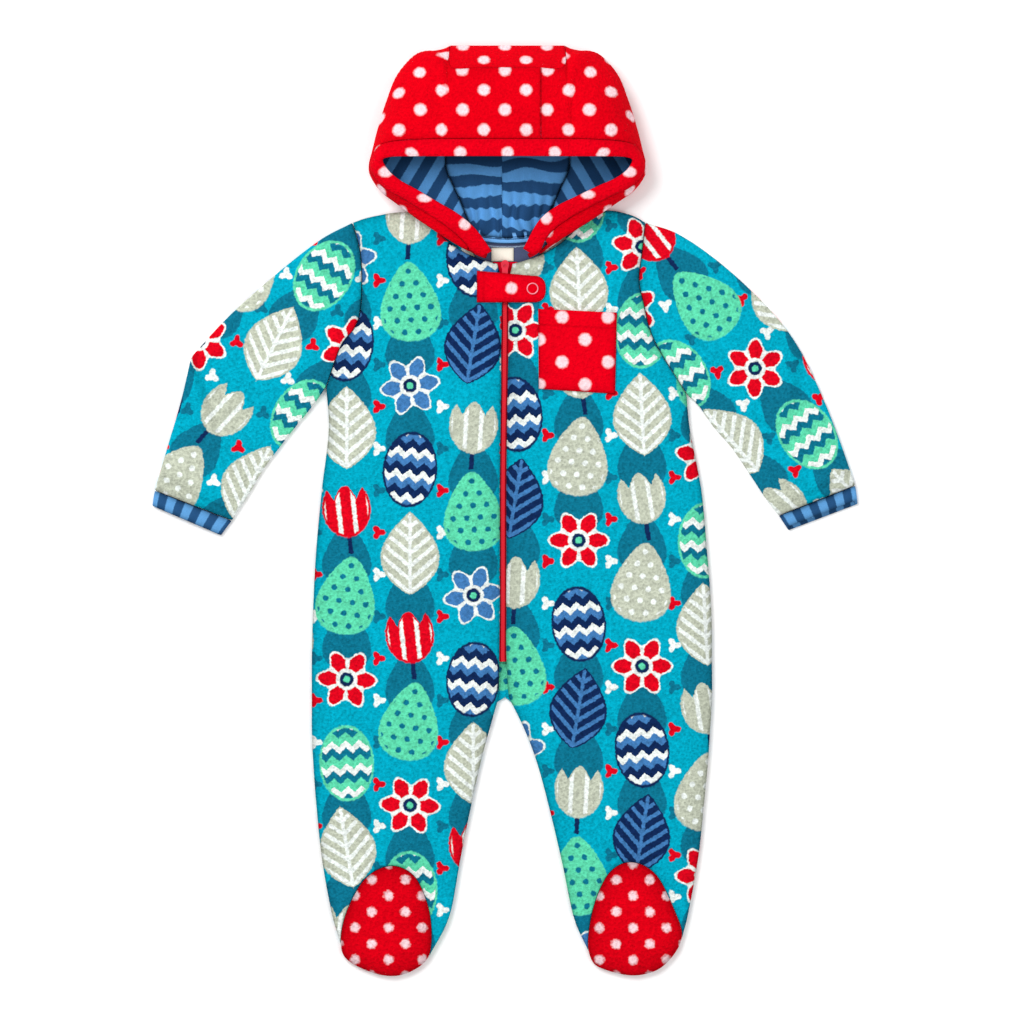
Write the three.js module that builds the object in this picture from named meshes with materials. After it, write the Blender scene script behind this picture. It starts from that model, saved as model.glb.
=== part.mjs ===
// Footed baby sleepsuit with a hood, laid flat on its back with the front up.
// Millimetres, +Z up, +Y towards the hood. Left and right are the wearer's, so the wearer's left is at +X.
// The pieces lie in layers as cut cloth does: back pieces on the surface, front pieces over them, and the
// hood behind the neck with its brim raised. Every piece has its own wall, and seams are a small gap.

import * as THREE from 'three';

// Cloth walls and the gap that every seam keeps
const FLEECE = 2.0;
const JERSEY = 1.2;
const TAPE = 0.8;
const GAP = 0.3;
const FRONT_FLOOR = FLEECE + GAP;

// How far the front rises off the back, and how far in from an edge the rise is full
const RISE = 3.0;
const RISE_REACH = 30;
const SLEEVE_RISE = 2.9;
const FOOT_DOME = 0.5;

// Zip, chin tab and snap
const COIL_WIDTH = 3.4;
const COIL_HEIGHT = 1.7;
const ZIP_TAPE_WIDTH = 10;
const TAPE_SLACK = 0.3;
const TAPE_LEVEL_FROM = 190;
const ZIP_TOP = 199.6;
const ZIP_END = -120;
const SLIDER = { width: 6.4, length: 8, height: 2.4, y: 197 };
const PULL = { width: 4.6, length: 15, height: 0.8, y: 191, hole: 1.4 };
const TAB = {
  left: -22.5,
  bend: 22,
  right: 32.5,
  topLeft: 192.5,
  topRight: 188.5,
  low: 167.2,
  squareness: 2.6,
  edgeThickness: 0.6,
};
const OVER_PULL = { height: 2.1, halfWidth: 3, fade: 9 };
const SNAP = { x: 22, y: 178.2, outer: 4.75, inner: 3.75, height: 0.8 };
const POCKET = {
  topLeft: [26.5, 162],
  topRight: [89.5, 159],
  lowRight: [88, 94],
  lowLeft: [27, 98],
  hem: 13,
  hemHeight: 0.5,
};

// Cuffs
const CUFF = { wall: 1.6, rise: 1.2, length: 14 };

// Strips and label inside the back of the neck
const NECK_TAPE = { left: -24, right: 28, above: 6, below: 3 };
const NECK_FACING = { left: -30, right: 34, below: 1, middleDepth: 24, sideDepth: 4 };
const LABEL = { x: -2, y: 205.5, width: 18, length: 11, height: 0.5 };

// Hood
const HOOD_CENTRE = 2;
const BAND_WIDTH = 14;
const BAND_GAP = 0.6;
const LINING_GAP = 0.5;
const GUSSET_REACH = 12;
const CROWN_SEAM = 17.2;
const FIRST_SIDE_ROW = 0.8;
const NAPE_ROW = 6;
const CORNER_ROW = 14;
const CENTRE_ROW = 16;
const NAPE_DIP = 3.5;
const NECK_HALF = 62;
const NECK_LOW = 217;
const NECK_DEPTH = 21.5;
const NECK_SHARE = 0.88;

const COLOURS = {
  print: '#0c9fbf',
  red: '#e3041c',
  blue: '#3f78b5',
  navy: '#27496f',
  cream: '#efe7d6',
  metal: '#d8c3c6',
};

// Rows from short lists, with a name for each column
function table(columns, lines) {
  return lines.map((line) => Object.fromEntries(columns.map((name, i) => [name, line[i]])));
}

// Each half of the body from shoulder to foot: the inner edge runs down the zip and the inside leg, the
// outer edge down the armhole and the side. Row 5 is the armpit and row 11 the crotch.
const BODY_COLUMNS = ['inX', 'inY', 'outX', 'outY'];
const ARMPIT = 5;
const CROTCH = 11;
const BODY_END = 17;
const RIGHT_BODY = table(BODY_COLUMNS, [
  [-6, 198, -121.5, 231],
  [-2.5, 181, -115, 203.5],
  [-2.5, 157, -115, 164.5],
  [-2.5, 145, -120, 147],
  [-3, 127.5, -131, 132.5],
  [-3, 97, -143, 99],
  [-3.5, 65, -141, 65],
  [-4, 17, -146.5, 17],
  [-4, -31, -151, -31],
  [-4, -79, -153.5, -79],
  [-4.5, -115, -154.5, -119],
  [-5, -148.5, -154.5, -151],
  [-12, -173, -154.5, -175],
  [-19, -199, -153.5, -199],
  [-26.5, -235, -151, -235],
  [-34.5, -277, -146.5, -279],
  [-43, -323, -139, -321],
  [-59, -355, -132, -346],
]);
const LEFT_BODY = table(BODY_COLUMNS, [
  [6, 198, 112, 231],
  [2.5, 181, 109.5, 207.5],
  [2.5, 157, 107, 186],
  [2.5, 145, 110.5, 167],
  [2.5, 127.5, 119, 137],
  [2, 97, 145, 94],
  [1.5, 65, 148, 65],
  [1, 17, 157, 17],
  [1, -31, 161.5, -31],
  [1, -79, 165, -79],
  [1, -115, 165.5, -119],
  [3, -148.5, 165.5, -151],
  [15, -173, 164, -175],
  [25, -199, 162.5, -199],
  [35, -235, 159, -235],
  [45.5, -279, 154.5, -277],
  [55, -323, 146.5, -321],
  [66.5, -349, 141.5, -341],
]);

// Top edge of each front, from the zip round the neck to the shoulder's neck end, then out to the armhole
const TOP_COLUMNS = ['x', 'y'];
const SHOULDER_NECK = 5;
const RIGHT_TOP = table(TOP_COLUMNS, [
  [-6, 198],
  [-17, 201],
  [-31, 206.5],
  [-44.5, 215],
  [-55, 226.5],
  [-60, 238.5],
  [-75, 239.5],
  [-88, 239],
  [-100, 237],
  [-111.5, 234.5],
  [-121.5, 231],
]);
const LEFT_TOP = table(TOP_COLUMNS, [
  [6, 198],
  [17, 201],
  [32, 207],
  [46, 216],
  [58, 227.5],
  [64, 238.5],
  [75, 240],
  [86, 240.5],
  [96, 238.5],
  [104.5, 235.5],
  [112, 231],
]);

// Sleeves from armhole to cuff: the upper fold and the underarm fold
const SLEEVE_COLUMNS = ['topX', 'topY', 'underX', 'underY'];
const RIGHT_SLEEVE = table(SLEEVE_COLUMNS, [
  [-121.5, 231, -143, 99],
  [-148, 217, -154.5, 83.5],
  [-184, 189, -166.5, 69],
  [-221.5, 155.5, -179, 53],
  [-251, 123.5, -193, 34],
  [-259, 89, -202.5, 18],
  [-269.5, 53, -210.5, 5],
  [-280, 17, -218.5, -7],
]);
const LEFT_SLEEVE = table(SLEEVE_COLUMNS, [
  [112, 231, 145, 94],
  [140, 221, 156, 83],
  [176, 195.5, 167, 67.5],
  [213.5, 159.5, 181, 51.5],
  [236, 129, 192, 35.5],
  [255, 89, 202.5, 19.5],
  [269, 53, 210.5, 7.5],
  [280, 21, 219, -3],
]);
const RIGHT_ELBOW = [4];
const RIGHT_CUFF = table(SLEEVE_COLUMNS, [
  [-280, 16.6, -218.6, -7.4],
  [-281.2, 10.5, -223, -13.2],
  [-282, 4.5, -227.2, -19],
]);
const LEFT_CUFF = table(SLEEVE_COLUMNS, [
  [280, 20.6, 219.2, -3.4],
  [281.2, 13.5, 223, -9.2],
  [282, 6, 226.8, -15],
]);

// Outlines of the foot tops, once round from the ankle's middle; the soles have the same outline
const FOOT_COLUMNS = ['x', 'y'];
const RIGHT_FOOT = table(FOOT_COLUMNS, [
  [-91, -283.5],
  [-111, -293],
  [-125, -316.5],
  [-131, -339.5],
  [-128, -356.5],
  [-109.5, -367.5],
  [-90.5, -371.5],
  [-74.5, -367.5],
  [-61.5, -356.5],
  [-59, -335.5],
  [-62.5, -313],
  [-73, -291.5],
]);
const LEFT_FOOT = table(FOOT_COLUMNS, [
  [101.5, -280.5],
  [84, -288.5],
  [72, -313],
  [66.5, -343],
  [69.5, -359],
  [79, -366],
  [101.5, -371],
  [121, -367],
  [134.5, -355],
  [141.5, -339.5],
  [136, -320.5],
  [121, -291],
]);

// Hood from the front of the neck round one side to the middle of the brim. x runs out from the hood's
// centre. Each row is one line over the cloth: from the rim, over the outer fold, to the seam where it
// ends, at the neck for the first rows, then at the gusset's edge. Roll is 1 where the cloth turns under
// onto the surface and 0 where it runs straight. Bow bends the line away from the neck, and lift moves
// the rim up on the wearer's left side.
const HOOD_COLUMNS = [
  'rimX', 'rimY', 'rimZ', 'foldX', 'foldY', 'foldZ', 'endX', 'endY', 'endZ', 'roll', 'bow', 'lift',
];
const HOOD = table(HOOD_COLUMNS, [
  [12.5, 208, 16, 19.5, 204.5, 14, 15.5, 204, 9, 0, 0, 2],
  [24.5, 224.5, 20, 35, 212.5, 16, 27.5, 209, 8, 0, 0, 7],
  [38, 236.5, 24, 52.5, 223, 18, 43.5, 221, 7, 0, 0, 6.5],
  [54, 246, 26, 71.5, 235.5, 17, 61.5, 242, 7, 0.2, 0, 5],
  [71.5, 256.5, 27, 88.5, 248.5, 16, 56, 237.5, 2, 1, 1.5, 3],
  [86, 264.5, 27, 99.5, 257, 16, 46, 231, 2, 1, 8, 1.5],
  [95.5, 273, 28, 107, 267.5, 16, 28.5, 222, 2, 1, 12, 0],
  [99.5, 280.5, 30, 109, 275.5, 16, 38, 249, 2, 1, 3, 0],
  [95, 282.5, 33, 106, 288.5, 16, 49, 275, 2, 1, 0, 0],
  [87, 283, 37, 102, 304.5, 16, 47.5, 299, 2, 1, 0, 0],
  [77, 283, 40, 95, 327, 16, 44.5, 325, 2, 1, 0, 0],
  [67.5, 283, 42, 86, 348.5, 16, 43.5, 347, 2.5, 1, 0, 0],
  [59, 283, 43.5, 70, 364.5, 16, 44.5, 363, 5, 0.9, 0, 0],
  [51.5, 283, 44.5, 54, 359, 30, 46, 370, 14, 0, 0, 0],
  [44.5, 283, 45.2, 44.5, 326, 40, 44.5, 353, 33, 0, 0, 0],
  [22, 283, 46, 22, 326, 41, 22, 353, 33.5, 0, 0, 0],
  [0, 283, 46.4, 0, 326, 41.5, 0, 353, 33.8, 0, 0, 0],
]);

// Soft folds of the fronts: a ridge, or a trough where the height is below nothing, from one end to the
// other
const FOLD_COLUMNS = ['fromX', 'fromY', 'toX', 'toY', 'width', 'height'];
const FOLDS = table(FOLD_COLUMNS, [
  [-118, 112, -72, 140, 11, 0.8],
  [-128, 96, -78, 108, 9, -0.7],
  [122, 108, 78, 132, 12, 0.8],
  [128, 90, 84, 96, 10, -0.7],
  [-12, -128, -64, -168, 13, 0.8],
  [12, -128, 70, -166, 13, 0.8],
  [-96, -262, -92, -212, 14, -0.6],
  [104, -262, 108, -206, 14, -0.6],
  [-134, -30, -106, -72, 14, 0.6],
  [138, -20, 112, -66, 14, 0.6],
]);

function mix(start, end, share) {
  return start + (end - start) * share;
}

function clamp01(value) {
  return Math.min(Math.max(value, 0), 1);
}

// From 0 at an edge to 1, rising fast at first
function swell(share) {
  return 1 - (1 - clamp01(share)) ** 2;
}

// Smooth line through a column of a table, read at a place between its rows. It turns sharply at corners.
function read(rows, column, place, corners = []) {
  const i = Math.min(Math.max(Math.floor(place), 0), rows.length - 2);
  const t = place - i;
  const start = rows[i][column];
  const end = rows[i + 1][column];
  const openBefore = i === 0 || corners.includes(i);
  const openAfter = i + 2 === rows.length || corners.includes(i + 1);
  const before = openBefore ? 2 * start - end : rows[i - 1][column];
  const after = openAfter ? 2 * end - start : rows[i + 2][column];
  const bend = 2 * before - 5 * start + 4 * end - after;
  const twist = 3 * start - before - 3 * end + after;
  return 0.5 * (2 * start + (end - before) * t + bend * t * t + twist * t * t * t);
}

// The same on a closed outline
function readRound(rows, column, place) {
  const count = rows.length;
  const whole = Math.floor(place);
  const near = [-1, 0, 1, 2].map((step) => rows[(((whole + step) % count) + count) % count]);
  return read(near, column, 1 + place - whole);
}

function evenly(count, from = 0, to = 1) {
  return Array.from({ length: count + 1 }, (_, i) => mix(from, to, i / count));
}

// A solid from patches of a sheet. Each patch gives the outer and the inner point at the places of its
// columns and rows. Points that meet are one, each cell is cut along its shorter diagonal, and a wall
// closes every open edge.
function sheetSolid(patches) {
  const places = new Map();
  const outer = [];
  const inner = [];
  const faces = [];
  const keyOf = (point) => point.toArray().map((value) => Math.round(value * 500)).join(' ');
  for (const { columns, rows, at } of patches) {
    const numbers = rows.map((row) => columns.map((column) => {
      const [out, under] = at(column, row);
      const key = keyOf(out) + ' ' + keyOf(under);
      if (!places.has(key)) {
        places.set(key, outer.length);
        outer.push(out);
        inner.push(under);
      }
      return places.get(key);
    }));
    for (let row = 0; row + 1 < rows.length; row += 1) {
      for (let column = 0; column + 1 < columns.length; column += 1) {
        const [a, b] = [numbers[row][column], numbers[row][column + 1]];
        const [d, c] = [numbers[row + 1][column], numbers[row + 1][column + 1]];
        if (outer[a].distanceTo(outer[c]) <= outer[b].distanceTo(outer[d])) {
          faces.push([a, b, c], [a, c, d]);
        } else {
          faces.push([a, b, d], [b, c, d]);
        }
      }
    }
  }
  const kept = faces.filter(([a, b, c]) => a !== b && b !== c && c !== a);
  const sides = new Set();
  kept.forEach(([a, b, c]) => [[a, b], [b, c], [c, a]].forEach(([p, q]) => sides.add(p + ' ' + q)));
  const count = outer.length;
  const index = [];
  for (const [a, b, c] of kept) {
    index.push(a, b, c, a + count, c + count, b + count);
    for (const [p, q] of [[a, b], [b, c], [c, a]]) {
      if (!sides.has(q + ' ' + p)) {
        index.push(p, p + count, q + count, p, q + count, q);
      }
    }
  }
  const points = [...outer, ...inner];
  let volume = 0;
  for (let i = 0; i < index.length; i += 3) {
    const [a, b, c] = [points[index[i]], points[index[i + 1]], points[index[i + 2]]];
    volume += a.dot(b.clone().cross(c));
  }
  if (volume < 0) {
    index.reverse();
  }
  const geometry = new THREE.BufferGeometry().setFromPoints(points);
  geometry.setIndex(index);
  geometry.computeVertexNormals();
  return geometry;
}

// A half of the body with all that is set on it
const RIGHT = {
  body: RIGHT_BODY, top: RIGHT_TOP, foot: RIGHT_FOOT, sleeve: RIGHT_SLEEVE, cuff: RIGHT_CUFF,
  elbow: RIGHT_ELBOW, notch: [8, 15.3], sign: -1, mouthBack: 0,
};
const LEFT = {
  body: LEFT_BODY, top: LEFT_TOP, foot: LEFT_FOOT, sleeve: LEFT_SLEEVE, cuff: LEFT_CUFF,
  elbow: [], notch: [3.4, -3.05], sign: 1, mouthBack: 3,
};

// Places round a foot: along the notch as the panels have them, then round the toe
const NOTCH_STEPS = 10;
const TOE_STEPS = 6;

function footPlaces(half) {
  const [from, to] = half.notch;
  const turn = Math.sign(to - from) * half.foot.length;
  return [...evenly(NOTCH_STEPS, from, to), ...evenly(TOE_STEPS, to, from + turn).slice(1)];
}

// Foot outline, moved out from its middle by a margin
function footPoint(half, place, margin) {
  const x = readRound(half.foot, 'x', place);
  const y = readRound(half.foot, 'y', place);
  const middle = footMiddle(half);
  const reach = Math.hypot(x - middle.x, y - middle.y);
  const grow = 1 + margin / reach;
  return { x: mix(middle.x, x, grow), y: mix(middle.y, y, grow) };
}

function footMiddle(half) {
  const count = half.foot.length;
  const sum = (column) => half.foot.reduce((total, row) => total + row[column], 0);
  return { x: sum('x') / count, y: sum('y') / count };
}

// The back neckline dips from the shoulders' neck ends to the nape
function backNeck(x) {
  const out = Math.min(Math.abs(x - HOOD_CENTRE) / NECK_HALF, 1);
  return NECK_LOW + NECK_DEPTH * out ** 2.2;
}

// Place on a body half in plan: across from the inner to the outer edge, down by row. The top edge and
// the foot notch pull the rows next to them into their own curves.
function bodyPlan(half, isFront, across, down) {
  const inCorners = [CROTCH];
  const inX = isFront || down > CROTCH ? read(half.body, 'inX', down, inCorners) : 0;
  const inY = read(half.body, 'inY', down, inCorners);
  let x = mix(inX, read(half.body, 'outX', down, [ARMPIT]), across);
  let y = mix(inY, read(half.body, 'outY', down, [ARMPIT]), across);
  const topPull = (1 - clamp01(down / 3)) ** 2;
  if (topPull > 0) {
    const place = across * (half.top.length - 1);
    let topX = read(half.top, 'x', place, [SHOULDER_NECK]);
    let topY = read(half.top, 'y', place, [SHOULDER_NECK]);
    if (!isFront && place < SHOULDER_NECK) {
      topX = mix(0, half.top[SHOULDER_NECK].x, place / SHOULDER_NECK);
      topY = backNeck(topX);
    }
    const first = half.body[0];
    x += topPull * (topX - mix(isFront ? first.inX : 0, first.outX, across));
    y += topPull * (topY - mix(first.inY, first.outY, across));
  }
  const footPull = clamp01((down - (BODY_END - 4)) / 4);
  if (footPull > 0) {
    const last = half.body[BODY_END];
    const edge = footPoint(half, mix(half.notch[0], half.notch[1], across), GAP);
    x += footPull * (edge.x - mix(last.inX, last.outX, across));
    y += footPull * (edge.y - mix(last.inY, last.outY, across));
  }
  return { x, y };
}

// The suit's outer edges as x by y, for reading how far in a place lies
function edgeLine(half, column, fromRow, footFrom, footTo) {
  const line = [];
  for (let row = fromRow; row <= BODY_END; row += 0.25) {
    line.push([read(half.body, column + 'X', row), read(half.body, column + 'Y', row)]);
  }
  for (let step = 1; step <= 8; step += 1) {
    const point = footPoint(half, mix(footFrom, footTo, step / 8), 0);
    line.push([point.x, point.y]);
  }
  return line;
}

function xOnLine(line, y) {
  const i = Math.max(line.findIndex(([, lineY]) => lineY < y), 1);
  const [[x0, y0], [x1, y1]] = y < line.at(-1)[1] ? line.slice(-2) : [line[i - 1], line[i]];
  return mix(x0, x1, clamp01((y0 - y) / (y0 - y1)));
}

for (const half of [RIGHT, LEFT]) {
  const count = half.foot.length;
  const [inFoot, outFoot] = half.notch.map((place) => ((place % count) + count) % count);
  half.outside = edgeLine(half, 'out', ARMPIT, outFoot, count / 2);
  half.inside = edgeLine(half, 'in', CROTCH, inFoot, count / 2);
}

// Height that the folds add at a place
function foldHeight(x, y) {
  let height = 0;
  for (const fold of FOLDS) {
    const [dx, dy] = [fold.toX - fold.fromX, fold.toY - fold.fromY];
    const long = Math.hypot(dx, dy);
    const along = ((x - fold.fromX) * dx + (y - fold.fromY) * dy) / (long * long);
    const aside = ((x - fold.fromX) * dy - (y - fold.fromY) * dx) / long;
    const fade = Math.max(1 - (2 * along - 1) ** 2, 0);
    height += fold.height * fade * Math.exp(-((aside / fold.width) ** 2));
  }
  return height;
}

// Rise of the front's underside over the back: nothing at the suit's outer edges, full a little way in
function rise(x, y) {
  const half = x < 0 ? RIGHT : LEFT;
  const armpit = half.body[ARMPIT];
  const crotch = half.body[CROTCH];
  const shoulder = half.body[0];
  const neck = half.top[SHOULDER_NECK];
  const slope = (neck.y - shoulder.outY) / (shoulder.outX - neck.x);
  const out = Math.abs(x) - Math.abs(neck.x);
  const fromTop = neck.y - y - (out > 0 ? Math.abs(slope) * out : out);
  const fromSide = y < armpit.outY
    ? Math.abs(xOnLine(half.outside, y)) - Math.abs(x)
    : Math.hypot(x - armpit.outX, y - armpit.outY);
  const fromInside = y < crotch.inY
    ? Math.abs(x) - Math.abs(xOnLine(half.inside, y))
    : Math.hypot(x - crotch.inX, y - crotch.inY);
  const inward = Math.min(fromTop, fromSide, fromInside);
  const full = swell(inward / RISE_REACH);
  return RISE * full + foldHeight(x, y) * full * full;
}

function frontUnder(x, y) {
  return FRONT_FLOOR + Math.max(rise(x, y), 0);
}

function frontTop(x, y) {
  return frontUnder(x, y) + FLEECE;
}

// Rows of the body's points: close at the armhole and the foot, wider where the edges run straight
const BODY_DOWN = [...evenly(10, 0, ARMPIT), ...evenly(7, ARMPIT + 1, 13), ...evenly(7, 13.5, BODY_END)];

function frontGeometry(half) {
  const at = (column, down) => {
    const across = half.sign > 0 ? column : 1 - column;
    const { x, y } = bodyPlan(half, true, across, down);
    const under = frontUnder(x, y);
    return [new THREE.Vector3(x, y, under + FLEECE), new THREE.Vector3(x, y, under)];
  };
  return sheetSolid([{ columns: evenly(NOTCH_STEPS), rows: BODY_DOWN, at }]);
}

// The back is one flat piece: its outline runs down one half, up to the crotch, and round the other half
function backGeometry() {
  const edge = (half) => {
    const top = evenly(10).map((across) => bodyPlan(half, false, across, 0));
    const side = BODY_DOWN.slice(1, -1).map((down) => bodyPlan(half, false, 1, down));
    const notch = evenly(NOTCH_STEPS, 1, 0).map((across) => bodyPlan(half, false, across, BODY_END));
    const leg = BODY_DOWN.filter((down) => down > CROTCH && down < BODY_END).toReversed();
    return [...top, ...side, ...notch, ...leg.map((down) => bodyPlan(half, false, 0, down))];
  };
  const crotch = { x: -1, y: mix(RIGHT_BODY[CROTCH].inY, LEFT_BODY[CROTCH].inY, 0.5) };
  const outline = [...edge(RIGHT), crotch, ...edge(LEFT).toReversed().slice(0, -1)];
  const shape = new THREE.Shape(outline.map(({ x, y }) => new THREE.Vector2(x, y)));
  return new THREE.ExtrudeGeometry(shape, { depth: FLEECE, bevelEnabled: false });
}

// Places round a flattened tube, as share of the width and as layer: -1 under, 0 on a fold, 1 on top
const TUBE_EDGE = 0.014;
const TUBE_ACROSS = [TUBE_EDGE, ...evenly(8, 0.1, 0.9), 1 - TUBE_EDGE];
const TUBE_ROUND = [
  { across: 0, layer: 0 },
  ...TUBE_ACROSS.map((across) => ({ across, layer: -1 })),
  { across: 1, layer: 0 },
  ...TUBE_ACROSS.toReversed().map((across) => ({ across, layer: 1 })),
];

// Plan of a sleeve: across from the upper fold to the underarm fold, down by row. Its first rows take
// the curve of the armhole.
function sleevePlan(half, rows, across, down, corners) {
  let x = mix(read(rows, 'topX', down, corners), read(rows, 'underX', down), across);
  let y = mix(read(rows, 'topY', down, corners), read(rows, 'underY', down), across);
  const pull = rows === half.sleeve ? (1 - clamp01(down / 2)) ** 2 : 0;
  if (pull > 0) {
    const first = rows[0];
    const holeX = read(half.body, 'outX', across * ARMPIT, [ARMPIT]) + half.sign * (GAP + 0.1);
    const holeY = read(half.body, 'outY', across * ARMPIT, [ARMPIT]);
    x += pull * (holeX - mix(first.topX, first.underX, across));
    y += pull * (holeY - mix(first.topY, first.underY, across));
  }
  return { x, y };
}

// A flattened tube: bottom layer on the surface, top layer risen in its middle, a round fold at each side
function tubeGeometry(half, rows, steps, wall, tubeRise, corners = []) {
  const last = rows.length - 1;
  const at = (round, share) => {
    const spot = TUBE_ROUND[round % TUBE_ROUND.length];
    const down = share * last;
    const a = sleevePlan(half, rows, 0, down, corners);
    const b = sleevePlan(half, rows, 1, down, corners);
    const width = Math.hypot(b.x - a.x, b.y - a.y);
    const inset = wall / width;
    const edge = Math.min(spot.across, 1 - spot.across) * width;
    const risen = tubeRise * swell(edge / RISE_REACH);
    const backward = spot.layer > 0 && rows === half.cuff ? (half.mouthBack / CUFF.length) * share : 0;
    const outerPlan = sleevePlan(half, rows, spot.across, down - backward * last, corners);
    const innerAcross = mix(inset + 0.01, 1 - inset - 0.01, spot.across);
    const innerPlan = sleevePlan(half, rows, innerAcross, down - backward * last, corners);
    const middle = wall + GAP / 2;
    const outerZ = spot.layer > 0 ? 2 * wall + GAP + risen : middle * (1 + spot.layer);
    const innerZ = spot.layer > 0 ? outerZ - wall : middle + spot.layer * (GAP / 2);
    return [
      new THREE.Vector3(outerPlan.x, outerPlan.y, outerZ),
      new THREE.Vector3(innerPlan.x, innerPlan.y, innerZ),
    ];
  };
  return sheetSolid([{ columns: [...TUBE_ROUND.keys(), 0], rows: evenly(steps), at }]);
}

// Foot top and sole: rings from the middle of the foot out to its outline
function footGeometry(half, isTop) {
  const middle = footMiddle(half);
  const at = (place, out) => {
    const reach = swell(out);
    const edge = footPoint(half, place, 0);
    const x = mix(middle.x, edge.x, reach);
    const y = mix(middle.y, edge.y, reach);
    const under = isTop ? frontUnder(x, y) + FOOT_DOME * (1 - reach ** 4) : 0;
    return [new THREE.Vector3(x, y, under + FLEECE), new THREE.Vector3(x, y, under)];
  };
  return sheetSolid([{ columns: footPlaces(half), rows: evenly(isTop ? 4 : 1), at }]);
}

// The zip runs midway between the fronts
function zipCentre(y) {
  const after = Math.max(RIGHT_BODY.findIndex((row) => row.inY < y), 1);
  const before = after - 1;
  const share = clamp01((RIGHT_BODY[before].inY - y) / (RIGHT_BODY[before].inY - RIGHT_BODY[after].inY));
  const middle = (row) => (RIGHT_BODY[row].inX + LEFT_BODY[row].inX) / 2;
  return mix(middle(before), middle(after), share);
}

function zipTapeGeometry(half) {
  const at = (across, down) => {
    const y = mix(ZIP_TOP, ZIP_END, down);
    const x = zipCentre(y) + half.sign * mix(GAP / 2, ZIP_TAPE_WIDTH, across);
    const top = frontUnder(x, Math.min(y, TAPE_LEVEL_FROM)) - GAP - TAPE_SLACK;
    return [new THREE.Vector3(x, y, top), new THREE.Vector3(x, y, top - TAPE)];
  };
  return sheetSolid([{ columns: [0, 1], rows: evenly(10), at }]);
}

function zipCoilGeometry() {
  const at = (across, down) => {
    const y = mix(SLIDER.y - SLIDER.length / 2 - GAP, ZIP_END, down);
    const x = zipCentre(y) + COIL_WIDTH * (across - 0.5);
    const under = Math.max(...[-1, 1].map((side) => frontUnder(zipCentre(y) + side * 2, y)));
    const round = Math.sqrt(1 - (1.6 * (across - 0.5)) ** 2);
    return [new THREE.Vector3(x, y, under + COIL_HEIGHT * round), new THREE.Vector3(x, y, under)];
  };
  return sheetSolid([{ columns: evenly(4), rows: evenly(10), at }]);
}

// A flat plate with round ends, with a hole near its top where one is given
function plateGeometry({ width, length, height, y, hole }, x, z) {
  const shape = new THREE.Shape();
  const radius = width / 2;
  const half = length / 2 - radius;
  shape.absarc(0, half, radius, 0, Math.PI);
  shape.absarc(0, -half, radius, Math.PI, 2 * Math.PI);
  if (hole) {
    const round = new THREE.Path();
    round.absarc(0, half, hole, 0, 2 * Math.PI, true);
    shape.holes.push(round);
  }
  const geometry = new THREE.ExtrudeGeometry(shape, {
    depth: height,
    bevelEnabled: false,
    curveSegments: 8,
  });
  return geometry.translate(x, y, z);
}

// The tab lies on both fronts, across the zip's top, and passes over the pull
function chinTabGeometry() {
  const at = (across, down) => {
    const x = mix(TAB.left, TAB.right, 1 - (1 - across) ** 1.5);
    const past = clamp01((x - TAB.bend) / (TAB.right - TAB.bend));
    const open = (1 - past ** TAB.squareness) ** (1 / TAB.squareness);
    const slope = clamp01((x - TAB.left) / (TAB.bend - TAB.left));
    const high = mix(TAB.topLeft, TAB.topRight, slope);
    const middle = (high + TAB.low) / 2;
    const y = middle + (high - TAB.low) * open * (0.5 - down);
    const pastPull = clamp01((Math.abs(x) - OVER_PULL.halfWidth) / OVER_PULL.fade);
    const overPull = OVER_PULL.height * (1 - pastPull) ** 1.5;
    const edge = swell(Math.min(down, 1 - down) * 6);
    const under = frontTop(x, y) + GAP + overPull;
    const thick = FLEECE * mix(TAB.edgeThickness, 1, edge);
    return [new THREE.Vector3(x, y, under + thick), new THREE.Vector3(x, y, under)];
  };
  return sheetSolid([{ columns: evenly(12), rows: evenly(6), at }]);
}

function snapRingGeometry() {
  const { x, y, outer, inner, height } = SNAP;
  const profile = [
    [inner, 0],
    [outer, 0],
    [outer, height * 0.6],
    [outer - 0.3, height],
    [inner + 0.3, height],
    [inner, height * 0.6],
    [inner, 0],
  ].map(([radius, z]) => new THREE.Vector2(radius, z));
  const ring = new THREE.LatheGeometry(profile, 24).rotateX(Math.PI / 2);
  return ring.translate(x, y, frontTop(x, y) + GAP + FLEECE + GAP);
}

// The pocket's points are the front's, moved out; its hem is a little thicker
function pocketGeometry() {
  const { topLeft, topRight, lowRight, lowLeft, hem, hemHeight } = POCKET;
  const tall = topLeft[1] - lowLeft[1];
  const at = (across, down) => {
    const corner = (i) => mix(mix(topLeft[i], topRight[i], across), mix(lowLeft[i], lowRight[i], across), down);
    const [x, y] = [corner(0), corner(1)];
    const under = frontTop(x, y) + GAP;
    const edge = swell(Math.min(across, 1 - across, 1 - down, down + 0.06) * 12);
    const thick = FLEECE * mix(0.6, 1, edge) + (down * tall < hem ? hemHeight : 0);
    return [new THREE.Vector3(x, y, under + thick), new THREE.Vector3(x, y, under)];
  };
  return sheetSolid([{ columns: evenly(7), rows: evenly(9), at }]);
}

// Both sides of the hood in one list of rows, the wearer's right first
const HOOD_ROWS = [
  ...HOOD.map((row) => hoodLine(row, -1)),
  ...HOOD.slice(0, CENTRE_ROW).reverse().map((row) => hoodLine(row, 1)),
];
const HOOD_LAST = HOOD_ROWS.length - 1;

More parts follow.
